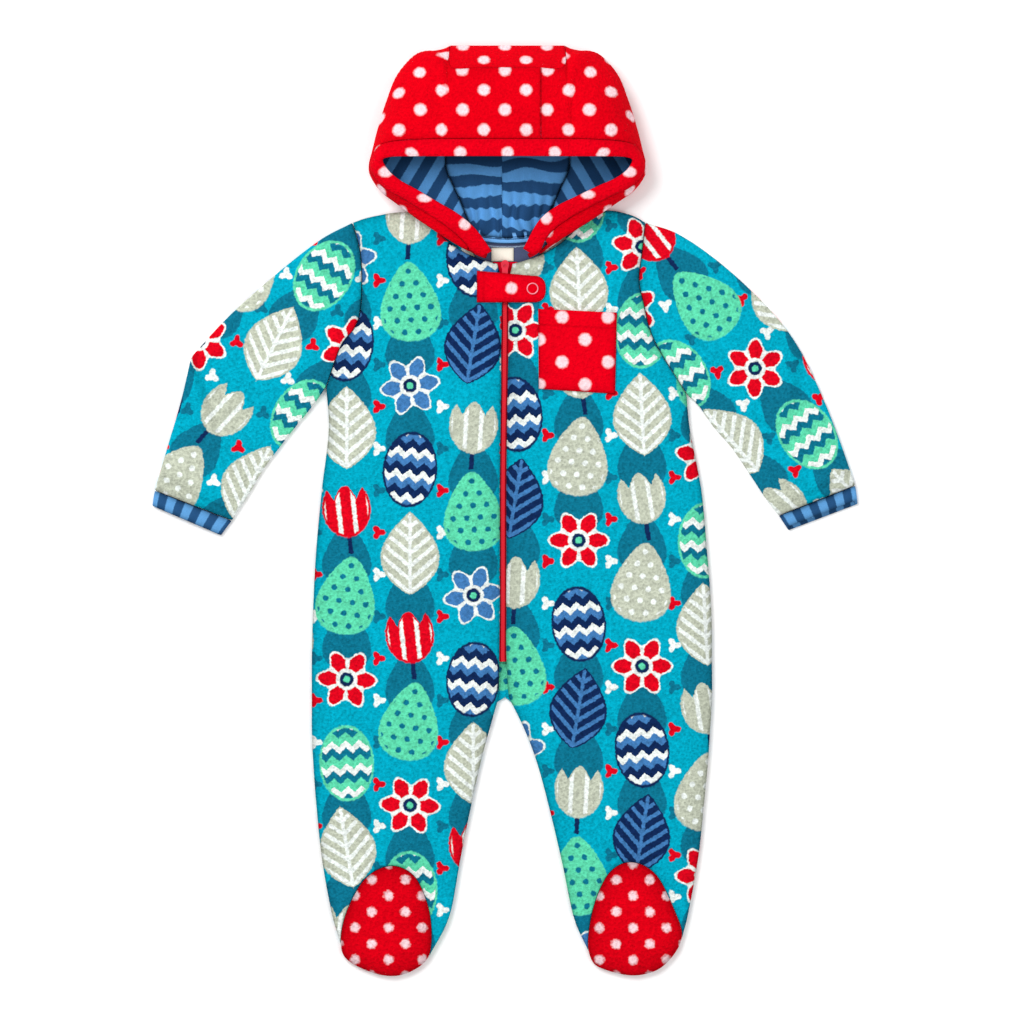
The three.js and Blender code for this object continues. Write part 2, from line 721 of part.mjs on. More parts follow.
// The points that one line over the hood passes: rim, top, fold, turn, floor, middle and end
function hoodLine(row, sign) {
  const lift = sign > 0 ? row.lift : 0;
  const rim = new THREE.Vector3(row.rimX, row.rimY + lift, row.rimZ);
  const fold = new THREE.Vector3(row.foldX, row.foldY + lift * 0.5, row.foldZ);
  const end = new THREE.Vector3(row.endX, row.endY, row.endZ);
  const reach = Math.hypot(end.x - fold.x, end.y - fold.y);
  const top = rim.clone().lerp(fold, 0.6);
  top.z = mix(rim.z, fold.z, mix(0.55, 0.2, row.roll));
  const turn = fold.clone().lerp(end, mix(1 / 3, Math.min(4 / reach, 1 / 3), row.roll));
  turn.z = mix(turn.z, mix(fold.z, end.z, 0.75), row.roll);
  const floor = fold.clone().lerp(end, mix(2 / 3, Math.min(13 / reach, 2 / 3), row.roll));
  floor.z = mix(floor.z, end.z, row.roll);
  const middle = floor.clone().lerp(end, 0.5);
  middle.y += row.bow;
  return [rim, top, fold, turn, floor, middle, end].map((point) => {
    return { x: HOOD_CENTRE + sign * point.x, y: point.y, z: point.z };
  });
}

const hoodCurves = new Map();

// The line over the hood at a place between rows, as a curve
function hoodCurve(place) {
  const key = place.toFixed(4);
  if (!hoodCurves.has(key)) {
    const points = HOOD_ROWS[0].map((_, i) => {
      const column = HOOD_ROWS.map((row) => row[i]);
      return new THREE.Vector3(...['x', 'y', 'z'].map((axis) => read(column, axis, place)));
    });
    hoodCurves.set(key, new THREE.CatmullRomCurve3(points, false, 'centripetal'));
  }
  return hoodCurves.get(key);
}

function hoodPoint(place, share) {
  const point = hoodCurve(place).getPointAt(clamp01(share));
  point.z = Math.max(point.z, FLEECE);
  return point;
}

// Which way is out of the hood, from two short steps over it. Next to the neck seam, which turns back on
// itself at the shoulders, it is taken a little way in from the seam.
function hoodOut(place, share) {
  const step = 0.05;
  const near = Math.min(place, HOOD_LAST - place);
  const at = near < NAPE_ROW ? Math.min(share, NECK_SHARE) : share;
  const sideways = hoodPoint(Math.min(place + step, HOOD_LAST), at);
  sideways.sub(hoodPoint(Math.max(place - step, 0), at));
  const inward = hoodPoint(place, Math.min(at + 0.01, 1));
  inward.sub(hoodPoint(place, Math.max(at - 0.01, 0)));
  return sideways.cross(inward).normalize();
}

// Gusset between its two edges: the ends of the hood's rows from the nape to the top corner
function gussetPoint(across, place) {
  const a = hoodPoint(place, 1);
  const b = hoodPoint(HOOD_LAST - place, 1);
  const point = a.lerp(b, across);
  const dip = NAPE_DIP * (1 - clamp01((place - NAPE_ROW) / 1.5)) ** 2;
  point.y -= dip * 4 * across * (1 - across);
  return point;
}

function gussetOut(place) {
  const ahead = hoodPoint(Math.min(place + 0.05, CORNER_ROW), 1);
  ahead.sub(hoodPoint(Math.max(place - 0.05, NAPE_ROW), 1));
  return new THREE.Vector3(0, ahead.z, -ahead.y).normalize();
}

// How near the gusset a place on a side is: 1 at its edge, nothing past the reach
function gussetPull(place, share) {
  const near = Math.min(place, HOOD_LAST - place);
  const away = (1 - share) * hoodCurve(place).getLength();
  return near >= NAPE_ROW ? 1 - clamp01(away / GUSSET_REACH) : 0;
}

// Next to the gusset the sides turn to its direction, so that the walls meet edge to edge
function sideOut(place, share) {
  const near = Math.min(place, HOOD_LAST - place, CORNER_ROW);
  const pull = gussetPull(place, share);
  return pull > 0 ? hoodOut(place, share).lerp(gussetOut(near), pull).normalize() : hoodOut(place, share);
}

// Keeps a point of a side out past the gusset's edge
function besideGusset(point, place) {
  const near = Math.min(place, HOOD_LAST - place);
  const edge = hoodPoint(place, 1).x - HOOD_CENTRE;
  if (near >= NAPE_ROW && near <= CORNER_ROW) {
    point.x = HOOD_CENTRE + Math.sign(edge) * Math.max(Math.abs(point.x - HOOD_CENTRE), Math.abs(edge) + GAP);
  }
  return point;
}

function moved(point, direction, distance) {
  return point.clone().addScaledVector(direction, distance);
}

function bandShare(place) {
  const long = hoodCurve(place).getLength();
  return Math.min(BAND_WIDTH, long - 1.5) / long;
}

// Places of the hood's points, close where it bends, the same on every piece that meets there
const HALF_PLACES = [...evenly(13, FIRST_SIDE_ROW, NAPE_ROW), 7, 8, 9, 10, 11, ...evenly(6, 11.5, CORNER_ROW), 15];
const RIGHT_PLACES = [...HALF_PLACES, CENTRE_ROW, CROWN_SEAM];
const LEFT_PLACES = [CROWN_SEAM, ...HALF_PLACES.slice(0, -1).toReversed().map((place) => HOOD_LAST - place)];

// The same places, kept off the crown seam by half of its gap
const CROWN_GAP = 0.008;
const RIGHT_SIDE_PLACES = [...RIGHT_PLACES.slice(0, -1), CROWN_SEAM - CROWN_GAP];
const LEFT_SIDE_PLACES = [CROWN_SEAM + CROWN_GAP, ...LEFT_PLACES.slice(1)];

const SHELL = { out: FLEECE, under: 0 };
const LINING = { out: -LINING_GAP, under: -LINING_GAP - JERSEY };

// A side of the hood, or of its lining, between the band and the seams
function hoodSideGeometry(places, layer, rows) {
  const at = (place, down) => {
    const long = hoodCurve(place).getLength();
    const share = mix(bandShare(place) + BAND_GAP / long, 1 - GAP / long, down ** 1.15);
    const point = hoodPoint(place, share);
    const out = sideOut(place, share);
    return [layer.out, layer.under].map((distance) => besideGusset(moved(point, out, distance), place));
  };
  return sheetSolid([{ columns: places, rows: evenly(rows), at }]);
}

function gussetGeometry(layer) {
  const at = (across, place) => {
    const point = gussetPoint(across, place);
    const out = gussetOut(place);
    return [moved(point, out, layer.out), moved(point, out, layer.under)];
  };
  const rows = HALF_PLACES.filter((place) => place >= NAPE_ROW && place <= CORNER_ROW);
  return sheetSolid([{ columns: evenly(5), rows, at }]);
}

// The band wraps the rim: as thick as the shell and the lining together, with a rounded edge
function bandGeometry() {
  const at = (place, down) => {
    const share = mix(0, bandShare(place), down);
    const point = hoodPoint(place, share);
    const out = hoodOut(place, share);
    const round = mix(0.45, 1, swell(down * 4));
    return [moved(point, out, LINING.under * round), moved(point, out, SHELL.out * round)];
  };
  const places = [0, ...RIGHT_PLACES, ...LEFT_PLACES.slice(1), HOOD_LAST];
  return sheetSolid([{ columns: places, rows: [0, 0.1, 0.5, 1], at }]);
}

// Strips inside the back of the neck
function neckTapeGeometry() {
  const at = (across, down) => {
    const x = mix(NECK_TAPE.left, NECK_TAPE.right, across);
    const y = backNeck(x) + mix(NECK_TAPE.above, -NECK_TAPE.below, down);
    const under = FLEECE + LINING_GAP + JERSEY + GAP;
    return [new THREE.Vector3(x, y, under + TAPE), new THREE.Vector3(x, y, under)];
  };
  return sheetSolid([{ columns: evenly(8), rows: [0, 1], at }]);
}

function neckFacingGeometry() {
  const at = (across, down) => {
    const x = mix(NECK_FACING.left, NECK_FACING.right, across);
    const depth = mix(NECK_FACING.middleDepth, NECK_FACING.sideDepth, (2 * across - 1) ** 4);
    const y = backNeck(x) - NECK_FACING.below - depth * down;
    return [new THREE.Vector3(x, y, FRONT_FLOOR + TAPE), new THREE.Vector3(x, y, FRONT_FLOOR)];
  };
  return sheetSolid([{ columns: evenly(8), rows: [0, 1], at }]);
}

function neckLabelGeometry() {
  const label = new THREE.BoxGeometry(LABEL.width, LABEL.length, LABEL.height);
  return label.translate(LABEL.x, LABEL.y, FRONT_FLOOR + TAPE + GAP + LABEL.height / 2);
}

const garment = new THREE.Group();

function addPiece(name, geometry, colour, roughness = 0.95, metalness = 0) {
  const material = new THREE.MeshStandardMaterial({ color: colour, roughness, metalness });
  const piece = new THREE.Mesh(geometry, material);
  piece.name = name;
  garment.add(piece);
}

addPiece('back_panel', backGeometry(), COLOURS.print);
for (const [side, half] of [['right', RIGHT], ['left', LEFT]]) {
  addPiece('front_' + side, frontGeometry(half), COLOURS.print);
  addPiece('sleeve_' + side, tubeGeometry(half, half.sleeve, 12, FLEECE, SLEEVE_RISE, half.elbow), COLOURS.print);
  addPiece('cuff_' + side, tubeGeometry(half, half.cuff, 2, CUFF.wall, CUFF.rise), COLOURS.blue);
  addPiece('vamp_' + side, footGeometry(half, true), COLOURS.red);
  addPiece('sole_' + side, footGeometry(half, false), COLOURS.red);
  addPiece('zip_tape_' + side, zipTapeGeometry(half), COLOURS.red);
}
addPiece('zip_coil', zipCoilGeometry(), COLOURS.red, 0.6);
const sliderZ = frontUnder(0, SLIDER.y) + GAP;
addPiece('zip_slider', plateGeometry(SLIDER, 0, sliderZ), COLOURS.red, 0.4);
addPiece('zip_pull', plateGeometry(PULL, 0, sliderZ + SLIDER.height + GAP), COLOURS.red, 0.4);
addPiece('chin_tab', chinTabGeometry(), COLOURS.red);
addPiece('snap_ring', snapRingGeometry(), COLOURS.metal, 0.35, 0.6);
addPiece('pocket', pocketGeometry(), COLOURS.red);

addPiece('hood_side_right', hoodSideGeometry(RIGHT_SIDE_PLACES, SHELL, 8), COLOURS.red);
addPiece('hood_side_left', hoodSideGeometry(LEFT_SIDE_PLACES, SHELL, 8), COLOURS.red);
addPiece('hood_gusset', gussetGeometry(SHELL), COLOURS.red);
addPiece('hood_band', bandGeometry(), COLOURS.red);
addPiece('lining_side_right', hoodSideGeometry(RIGHT_SIDE_PLACES.slice(1), LINING, 8), COLOURS.blue);
addPiece('lining_side_left', hoodSideGeometry(LEFT_SIDE_PLACES.slice(0, -1), LINING, 8), COLOURS.blue);
addPiece('lining_gusset', gussetGeometry(LINING), COLOURS.blue);
addPiece('neck_tape', neckTapeGeometry(), COLOURS.blue);
addPiece('neck_facing', neckFacingGeometry(), COLOURS.navy);
addPiece('neck_label', neckLabelGeometry(), COLOURS.cream);

export default garment;
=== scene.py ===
"""Looks of the footed baby sleepsuit with a hood, laid flat on its back.

Each piece is a cloth wall worked out with numpy from the same tables and sizes as the solids, in millimetres,
and stored in metres. Every piece rides on the part's one body and stands for its own solid.
"""

import logging
import math
from dataclasses import dataclass
from enum import Enum
from typing import Callable, Sequence

import bpy
import numpy as np
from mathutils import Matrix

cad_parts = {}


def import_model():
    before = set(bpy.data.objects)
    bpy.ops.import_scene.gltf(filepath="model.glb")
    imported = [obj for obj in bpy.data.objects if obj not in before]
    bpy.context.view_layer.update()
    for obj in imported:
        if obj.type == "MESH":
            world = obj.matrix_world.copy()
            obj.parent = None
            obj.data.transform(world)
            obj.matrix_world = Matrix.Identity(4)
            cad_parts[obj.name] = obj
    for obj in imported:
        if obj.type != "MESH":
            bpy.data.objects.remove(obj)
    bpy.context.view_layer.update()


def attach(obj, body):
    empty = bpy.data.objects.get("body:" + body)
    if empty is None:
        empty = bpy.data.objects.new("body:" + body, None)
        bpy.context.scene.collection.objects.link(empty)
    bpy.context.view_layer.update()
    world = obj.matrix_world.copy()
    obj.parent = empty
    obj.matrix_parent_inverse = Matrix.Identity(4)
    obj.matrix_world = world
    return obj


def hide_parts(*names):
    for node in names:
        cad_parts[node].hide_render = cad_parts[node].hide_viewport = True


Array = np.ndarray
Table = dict[str, Array]
Colour = tuple[float, float, float, float]

log = logging.getLogger("sleepsuit")

METRE = 0.001
BODY = "root"

# Cloth walls and seams
FLEECE = 2.0
JERSEY = 1.2
TAPE = 0.8
GAP = 0.3
FRONT_FLOOR = FLEECE + GAP

# Rise of the front over the back
RISE = 3.0
RISE_REACH = 30.0
SLEEVE_RISE = 2.9

# Lengths below this count as nothing, and lengths above the other as endless
SMALLEST = 1e-12
FAR = 1e9


def table(columns: str, lines: Sequence[Sequence[float]]) -> Table:
    """Names the columns of a short list of rows.

    Args:
        columns: The columns' names, with spaces between them.
        lines: One row of numbers for each section.

    Returns:
        One array for each column.
    """
    values = np.array(lines, dtype=float)
    return {name: values[:, i] for i, name in enumerate(columns.split())}


# Each half of the body from shoulder to foot, inner edge and outer edge
BODY_COLUMNS = "in_x in_y out_x out_y"
ARMPIT = 5
CROTCH = 11
BODY_END = 17
RIGHT_BODY = table(BODY_COLUMNS, [
    (-6, 198, -121.5, 231),
    (-2.5, 181, -115, 203.5),
    (-2.5, 157, -115, 164.5),
    (-2.5, 145, -120, 147),
    (-3, 127.5, -131, 132.5),
    (-3, 97, -143, 99),
    (-3.5, 65, -141, 65),
    (-4, 17, -146.5, 17),
    (-4, -31, -151, -31),
    (-4, -79, -153.5, -79),
    (-4.5, -115, -154.5, -119),
    (-5, -148.5, -154.5, -151),
    (-12, -173, -154.5, -175),
    (-19, -199, -153.5, -199),
    (-26.5, -235, -151, -235),
    (-34.5, -277, -146.5, -279),
    (-43, -323, -139, -321),
    (-59, -355, -132, -346),
])
LEFT_BODY = table(BODY_COLUMNS, [
    (6, 198, 112, 231),
    (2.5, 181, 109.5, 207.5),
    (2.5, 157, 107, 186),
    (2.5, 145, 110.5, 167),
    (2.5, 127.5, 119, 137),
    (2, 97, 145, 94),
    (1.5, 65, 148, 65),
    (1, 17, 157, 17),
    (1, -31, 161.5, -31),
    (1, -79, 165, -79),
    (1, -115, 165.5, -119),
    (3, -148.5, 165.5, -151),
    (15, -173, 164, -175),
    (25, -199, 162.5, -199),
    (35, -235, 159, -235),
    (45.5, -279, 154.5, -277),
    (55, -323, 146.5, -321),
    (66.5, -349, 141.5, -341),
])

# Top edge of each front: round the neck, then along the shoulder
TOP_COLUMNS = "x y"
SHOULDER_NECK = 5
RIGHT_TOP = table(TOP_COLUMNS, [
    (-6, 198), (-17, 201), (-31, 206.5), (-44.5, 215), (-55, 226.5), (-60, 238.5),
    (-75, 239.5), (-88, 239), (-100, 237), (-111.5, 234.5), (-121.5, 231),
])
LEFT_TOP = table(TOP_COLUMNS, [
    (6, 198), (17, 201), (32, 207), (46, 216), (58, 227.5), (64, 238.5),
    (75, 240), (86, 240.5), (96, 238.5), (104.5, 235.5), (112, 231),
])

# Sleeves and cuffs: upper fold and underarm fold
SLEEVE_COLUMNS = "top_x top_y under_x under_y"
RIGHT_SLEEVE = table(SLEEVE_COLUMNS, [
    (-121.5, 231, -143, 99),
    (-148, 217, -154.5, 83.5),
    (-184, 189, -166.5, 69),
    (-221.5, 155.5, -179, 53),
    (-251, 123.5, -193, 34),
    (-259, 89, -202.5, 18),
    (-269.5, 53, -210.5, 5),
    (-280, 17, -218.5, -7),
])
LEFT_SLEEVE = table(SLEEVE_COLUMNS, [
    (112, 231, 145, 94),
    (140, 221, 156, 83),
    (176, 195.5, 167, 67.5),
    (213.5, 159.5, 181, 51.5),
    (236, 129, 192, 35.5),
    (255, 89, 202.5, 19.5),
    (269, 53, 210.5, 7.5),
    (280, 21, 219, -3),
])
RIGHT_CUFF = table(SLEEVE_COLUMNS, [
    (-280, 16.6, -218.6, -7.4),
    (-281.2, 10.5, -223, -13.2),
    (-282, 4.5, -227.2, -19),
])
LEFT_CUFF = table(SLEEVE_COLUMNS, [
    (280, 20.6, 219.2, -3.4),
    (281.2, 13.5, 223, -9.2),
    (282, 6, 226.8, -15),
])

# Outline of each foot, once round
FOOT_COLUMNS = "x y"
RIGHT_FOOT = table(FOOT_COLUMNS, [
    (-91, -283.5), (-111, -293), (-125, -316.5), (-131, -339.5), (-128, -356.5), (-109.5, -367.5),
    (-90.5, -371.5), (-74.5, -367.5), (-61.5, -356.5), (-59, -335.5), (-62.5, -313), (-73, -291.5),
])
LEFT_FOOT = table(FOOT_COLUMNS, [
    (101.5, -280.5), (84, -288.5), (72, -313), (66.5, -343), (69.5, -359), (79, -366),
    (101.5, -371), (121, -367), (134.5, -355), (141.5, -339.5), (136, -320.5), (121, -291),
])

# Soft folds of the fronts: ridges, or troughs where the height is below nothing
FOLD_COLUMNS = "from_x from_y to_x to_y width height"
FOLDS = table(FOLD_COLUMNS, [
    (-118, 112, -72, 140, 11, 0.8),
    (-128, 96, -78, 108, 9, -0.7),
    (122, 108, 78, 132, 12, 0.8),
    (128, 90, 84, 96, 10, -0.7),
    (-12, -128, -64, -168, 13, 0.8),
    (12, -128, 70, -166, 13, 0.8),
    (-96, -262, -92, -212, 14, -0.6),
    (104, -262, 108, -206, 14, -0.6),
    (-134, -30, -106, -72, 14, 0.6),
    (138, -20, 112, -66, 14, 0.6),
])

# Hood from the front of the neck round one side to the middle of the brim
HOOD_COLUMNS = "rim_x rim_y rim_z fold_x fold_y fold_z end_x end_y end_z roll bow lift"
HOOD = table(HOOD_COLUMNS, [
    (12.5, 208, 16, 19.5, 204.5, 14, 15.5, 204, 9, 0, 0, 2),
    (24.5, 224.5, 20, 35, 212.5, 16, 27.5, 209, 8, 0, 0, 7),
    (38, 236.5, 24, 52.5, 223, 18, 43.5, 221, 7, 0, 0, 6.5),
    (54, 246, 26, 71.5, 235.5, 17, 61.5, 242, 7, 0.2, 0, 5),
    (71.5, 256.5, 27, 88.5, 248.5, 16, 56, 237.5, 2, 1, 1.5, 3),
    (86, 264.5, 27, 99.5, 257, 16, 46, 231, 2, 1, 8, 1.5),
    (95.5, 273, 28, 107, 267.5, 16, 28.5, 222, 2, 1, 12, 0),
    (99.5, 280.5, 30, 109, 275.5, 16, 38, 249, 2, 1, 3, 0),
    (95, 282.5, 33, 106, 288.5, 16, 49, 275, 2, 1, 0, 0),
    (87, 283, 37, 102, 304.5, 16, 47.5, 299, 2, 1, 0, 0),
    (77, 283, 40, 95, 327, 16, 44.5, 325, 2, 1, 0, 0),
    (67.5, 283, 42, 86, 348.5, 16, 43.5, 347, 2.5, 1, 0, 0),
    (59, 283, 43.5, 70, 364.5, 16, 44.5, 363, 5, 0.9, 0, 0),
    (51.5, 283, 44.5, 54, 359, 30, 46, 370, 14, 0, 0, 0),
    (44.5, 283, 45.2, 44.5, 326, 40, 44.5, 353, 33, 0, 0, 0),
    (22, 283, 46, 22, 326, 41, 22, 353, 33.5, 0, 0, 0),
    (0, 283, 46.4, 0, 326, 41.5, 0, 353, 33.8, 0, 0, 0),
])


def mix(start: Array | float, end: Array | float, share: Array | float) -> Array | float:
    """The value that lies a share of the way from start to end."""
    return start + (end - start) * share


def unit(vectors: Array) -> Array:
    """Vectors along the last axis, made one long."""
    return vectors / np.maximum(np.linalg.norm(vectors, axis=-1, keepdims=True), SMALLEST)


def swell(share: Array | float) -> Array:
    """From 0 at an edge to 1, rising fast at first: one less the square of what is left."""
    return 1 - (1 - np.clip(share, 0, 1)) ** 2


def ease(share: Array | float) -> Array:
    """From 0 to 1 with a level start and end: three squares less two cubes."""
    part = np.clip(share, 0, 1)
    return part * part * (3 - 2 * part)


def bell(distance: Array, width: float) -> Array:
    """A hump of 1 at no distance that fades as the bell curve does."""
    return np.exp(-((distance / width) ** 2))


def even(count: int) -> Array:
    """Even shares from 0 to 1."""
    return np.linspace(0, 1, count)


def dense_ends(count: int, pull: float = 0.9) -> Array:
    """Shares from 0 to 1 that stand close at both ends: each one less a share of a sine wave's height."""
    return even(count) - pull * np.sin(2 * np.pi * even(count)) / (2 * np.pi)


def lattice(rows: Array, columns: Array) -> tuple[Array, Array]:
    """Two parameters as whole arrays: the first grows down the rows, the second along the columns."""
    return tuple(np.meshgrid(rows, columns, indexing="ij"))


def way_along(line: Array) -> Array:
    """The way along a line of points to each of them."""
    return np.cumsum(np.pad(np.linalg.norm(np.diff(line, axis=0), axis=-1), (1, 0)))


def read(column: Array, place: Array, corners: Sequence[int] = ()) -> Array:
    """Reads a smooth line through a column of a table, turning sharply at corners.

    The line is a cubic between each two rows, whose slope at a row is half of the step between its
    neighbours. At a corner or an end the missing neighbour is the near row mirrored.

    Args:
        column: The values at rows 0, 1, 2 and so on, with any further axes behind.
        place: Where to read, as row numbers with fractions.
        corners: Rows where the line turns sharply.

    Returns:
        The values, in the shape of place with the further axes behind.
    """
    place = np.asarray(place, dtype=float)
    last = len(column) - 2
    i = np.clip(np.floor(place).astype(int), 0, last)
    more = (1,) * (column.ndim - 1)
    t = (place - i).reshape(place.shape + more)
    start = column[i]
    end = column[i + 1]
    open_before = ((i == 0) | np.isin(i, corners)).reshape(place.shape + more)
    open_after = ((i == last) | np.isin(i + 1, corners)).reshape(place.shape + more)
    before = np.where(open_before, 2 * start - end, column[np.maximum(i - 1, 0)])
    after = np.where(open_after, 2 * end - start, column[np.minimum(i + 2, last + 1)])
    bend = 2 * before - 5 * start + 4 * end - after
    twist = 3 * start - before - 3 * end + after
    return 0.5 * (2 * start + (end - before) * t + bend * t**2 + twist * t**3)


# Laps of a closed line that are kept before and after it
LAPS = 2


def read_round(line: Array, place: Array) -> Array:
    """Reads a smooth closed line by the same cubic, with its rows repeated before and after."""
    return read(np.concatenate([line] * (2 * LAPS + 1)), np.asarray(place) + LAPS * len(line))


def points_of(rows: Table, start: str = "") -> Array:
    """A table's points in plan, from its two columns whose names start so."""
    return np.stack([rows[start + "x"], rows[start + "y"]], axis=-1)


def read_plan(rows: Table, start: str, place: Array, corners: Sequence[int] = ()) -> Array:
    """Reads a smooth line through a table's points in plan."""
    return read(points_of(rows, start), place, corners)


# Ripples: how many waves, the turn from one to the next, their lengths, and where they start
RIPPLE_COUNT = 4
RIPPLE_TURN = 2.4
RIPPLE_SHORTEST = 0.7
RIPPLE_LONGER = 0.27
RIPPLE_START = 3.1


def ripple(x: Array, y: Array, length: float, seed: float) -> Array:
    """Gentle uneven waves: the mean of four sine waves, each turned and a little longer than the last.

    Args:
        x: Places across.
        y: Places up.
        length: About how long a wave is.
        seed: The first wave's turn, which makes each pattern another.

    Returns:
        Heights from -1 to 1.
    """
    total = np.zeros_like(x)
    for step in range(RIPPLE_COUNT):
        turn = seed + RIPPLE_TURN * step
        wave = 2 * math.pi / (length * (RIPPLE_SHORTEST + RIPPLE_LONGER * step))
        total = total + np.sin(wave * (x * math.cos(turn) + y * math.sin(turn)) + RIPPLE_START * turn)
    return total / RIPPLE_COUNT


# Steps from row to row along an outer edge, and round the toe
EDGE_STEPS = 4
TOE_STEPS = 8


@dataclass(frozen=True)
class Half:
    """One half of the suit: its tables, and the places where pieces meet."""

    name: str
    sign: int
    body: Table
    top: Table
    foot: Table
    sleeve: Table
    cuff: Table
    elbow: tuple[int, ...]
    notch: tuple[float, float]
    mouth_back: float
    print_place: tuple[float, float]

    def foot_middle(self) -> Array:
        """The middle of the foot's outline."""
        return points_of(self.foot).mean(axis=0)

    def foot_edge(self, place: Array, margin: float) -> Array:
        """Points on the foot's outline, moved out from its middle by a margin."""
        edge = read_round(points_of(self.foot), place)
        return edge + unit(edge - self.foot_middle()) * margin

    def side_line(self, side: str, first_row: int) -> Array:
        """An outer edge of the suit from the armpit or crotch to the toe.

        Args:
            side: Start of the edge's column names, out_ or in_.
            first_row: Row of the armpit or the crotch.

        Returns:
            Points in plan.
        """
        rows = np.linspace(first_row, BODY_END, EDGE_STEPS * (BODY_END - first_row) + 1)
        count = len(self.foot["x"])
        foot_from = self.notch[1 if side == "out_" else 0] % count
        toe = self.foot_edge(np.linspace(foot_from, count / 2, TOE_STEPS + 1)[1:], 0)
        return np.concatenate([read_plan(self.body, side, rows), toe])

    def inward(self, x: Array, y: Array) -> Array:
        """How far in from the suit's nearest outer edge each place lies.

        It is the least of the distances to the shoulder line, the side and the inside leg, each measured
        level, or to the corner above the armpit and above the crotch.

        Args:
            x: Places across.
            y: Places up.

        Returns:
            The distances in millimetres.
        """
        neck_x, neck_y = points_of(self.top)[SHOULDER_NECK]
        slope = abs((neck_y - self.body["out_y"][0]) / (self.body["out_x"][0] - neck_x))
        out = np.abs(x) - abs(neck_x)
        least = neck_y - y - np.where(out > 0, slope * out, out)
        for side, row, way in (("out_", ARMPIT, 1), ("in_", CROTCH, -1)):
            corner_x, corner_y = points_of(self.body, side)[row]
            line = self.side_line(side, row)
            edge = np.interp(-y, -line[:, 1], np.abs(line[:, 0]))
            level = way * (edge - np.abs(x))
            least = np.minimum(least, np.where(y < corner_y, level, np.hypot(x - corner_x, y - corner_y)))
        return least


RIGHT = Half(
    "right", -1, RIGHT_BODY, RIGHT_TOP, RIGHT_FOOT, RIGHT_SLEEVE, RIGHT_CUFF,
    elbow=(4,), notch=(8, 15.3), mouth_back=0, print_place=(0, 0),
)
LEFT = Half(
    "left", 1, LEFT_BODY, LEFT_TOP, LEFT_FOOT, LEFT_SLEEVE, LEFT_CUFF,
    elbow=(), notch=(3.4, -3.05), mouth_back=3, print_place=(17, 23),
)
HALVES = (RIGHT, LEFT)

# Back neckline, in the hood's middle
HOOD_CENTRE = 2.0
NECK_HALF = 62.0
NECK_LOW = 217.0
NECK_DEPTH = 21.5
NECK_POWER = 2.2

# Rows over which a panel takes the curve of its top and of the foot's notch
TOP_ROWS = 3
FOOT_ROWS = 4

# Unevenness of the fronts: height, length and seed of each layer of ripples
FRONT_RIPPLES = ((0.35, 90.0, 0.7), (0.12, 31.0, 2.1))


def back_neck(x: Array) -> Array:
    """Height of the back neckline: lowest at the nape, rising by a power to the shoulders."""
    return NECK_LOW + NECK_DEPTH * np.minimum(np.abs(x - HOOD_CENTRE) / NECK_HALF, 1) ** NECK_POWER


def body_plan(half: Half, is_front: bool, across: Array, down: Array) -> Array:
    """Plan of a panel: straight between its inner and outer edge in each row.

    The rows next to the top take the curve of the neck and shoulder, and those next to the foot take the
    curve of its notch, each with a pull that fades.

    Args:
        half: The half of the suit.
        is_front: True for the front, whose inner edge runs down the zip.
        across: Share of the way from the inner to the outer edge.
        down: Row of the body's table.

    Returns:
        Points in plan, with x and y along the last axis.
    """
    share = across[..., None]
    place = across * (len(half.top["x"]) - 1)
    inner = read_plan(half.body, "in_", down, [CROTCH])
    top = read_plan(half.top, "", place, [SHOULDER_NECK])
    inner_ends, outer_ends = (points_of(half.body, side)[[0, -1]] for side in ("in_", "out_"))
    if not is_front:
        inner[..., 0] = np.where(down > CROTCH, inner[..., 0], 0)
        inner_ends[0, 0] = 0
        neck_x = half.top["x"][SHOULDER_NECK] * place / SHOULDER_NECK
        nape = np.stack([neck_x, back_neck(neck_x)], axis=-1)
        top = np.where((place < SHOULDER_NECK)[..., None], nape, top)
    plan = mix(inner, read_plan(half.body, "out_", down, [ARMPIT]), share)
    foot = half.foot_edge(mix(*half.notch, across), GAP)
    top_pull = (1 - np.clip(down / TOP_ROWS, 0, 1)) ** 2
    foot_pull = np.clip((down - (BODY_END - FOOT_ROWS)) / FOOT_ROWS, 0, 1)
    for goal, pull, end in ((top, top_pull, 0), (foot, foot_pull, -1)):
        plan = plan + pull[..., None] * (goal - mix(inner_ends[end], outer_ends[end], share))
    return plan


def body_rows(step: float) -> Array:
    """Places down the body, with every row of the table among them.

    Args:
        step: About how far apart they are.

    Returns:
        Row numbers with fractions.
    """
    drops = np.abs(np.diff(RIGHT_BODY["out_y"]))
    counts = np.maximum(np.ceil(drops / step).astype(int), 1)
    parts = [np.arange(count) / count + row for row, count in enumerate(counts)]
    return np.append(np.concatenate(parts), BODY_END)


def fold_height(x: Array, y: Array) -> Array:
    """Height that the soft folds add: along each a hump that ends at its ends, across it a bell.

    Args:
        x: Places across.
        y: Places up.

    Returns:
        The heights in millimetres.
    """
    height = np.zeros_like(x)
    for from_x, from_y, to_x, to_y, width, most in zip(*FOLDS.values()):
        step_x, step_y = to_x - from_x, to_y - from_y
        long = math.hypot(step_x, step_y)
        along = ((x - from_x) * step_x + (y - from_y) * step_y) / long**2
        aside = ((x - from_x) * step_y - (y - from_y) * step_x) / long
        height = height + most * np.maximum(1 - (2 * along - 1) ** 2, 0) * bell(aside, width)
    return height


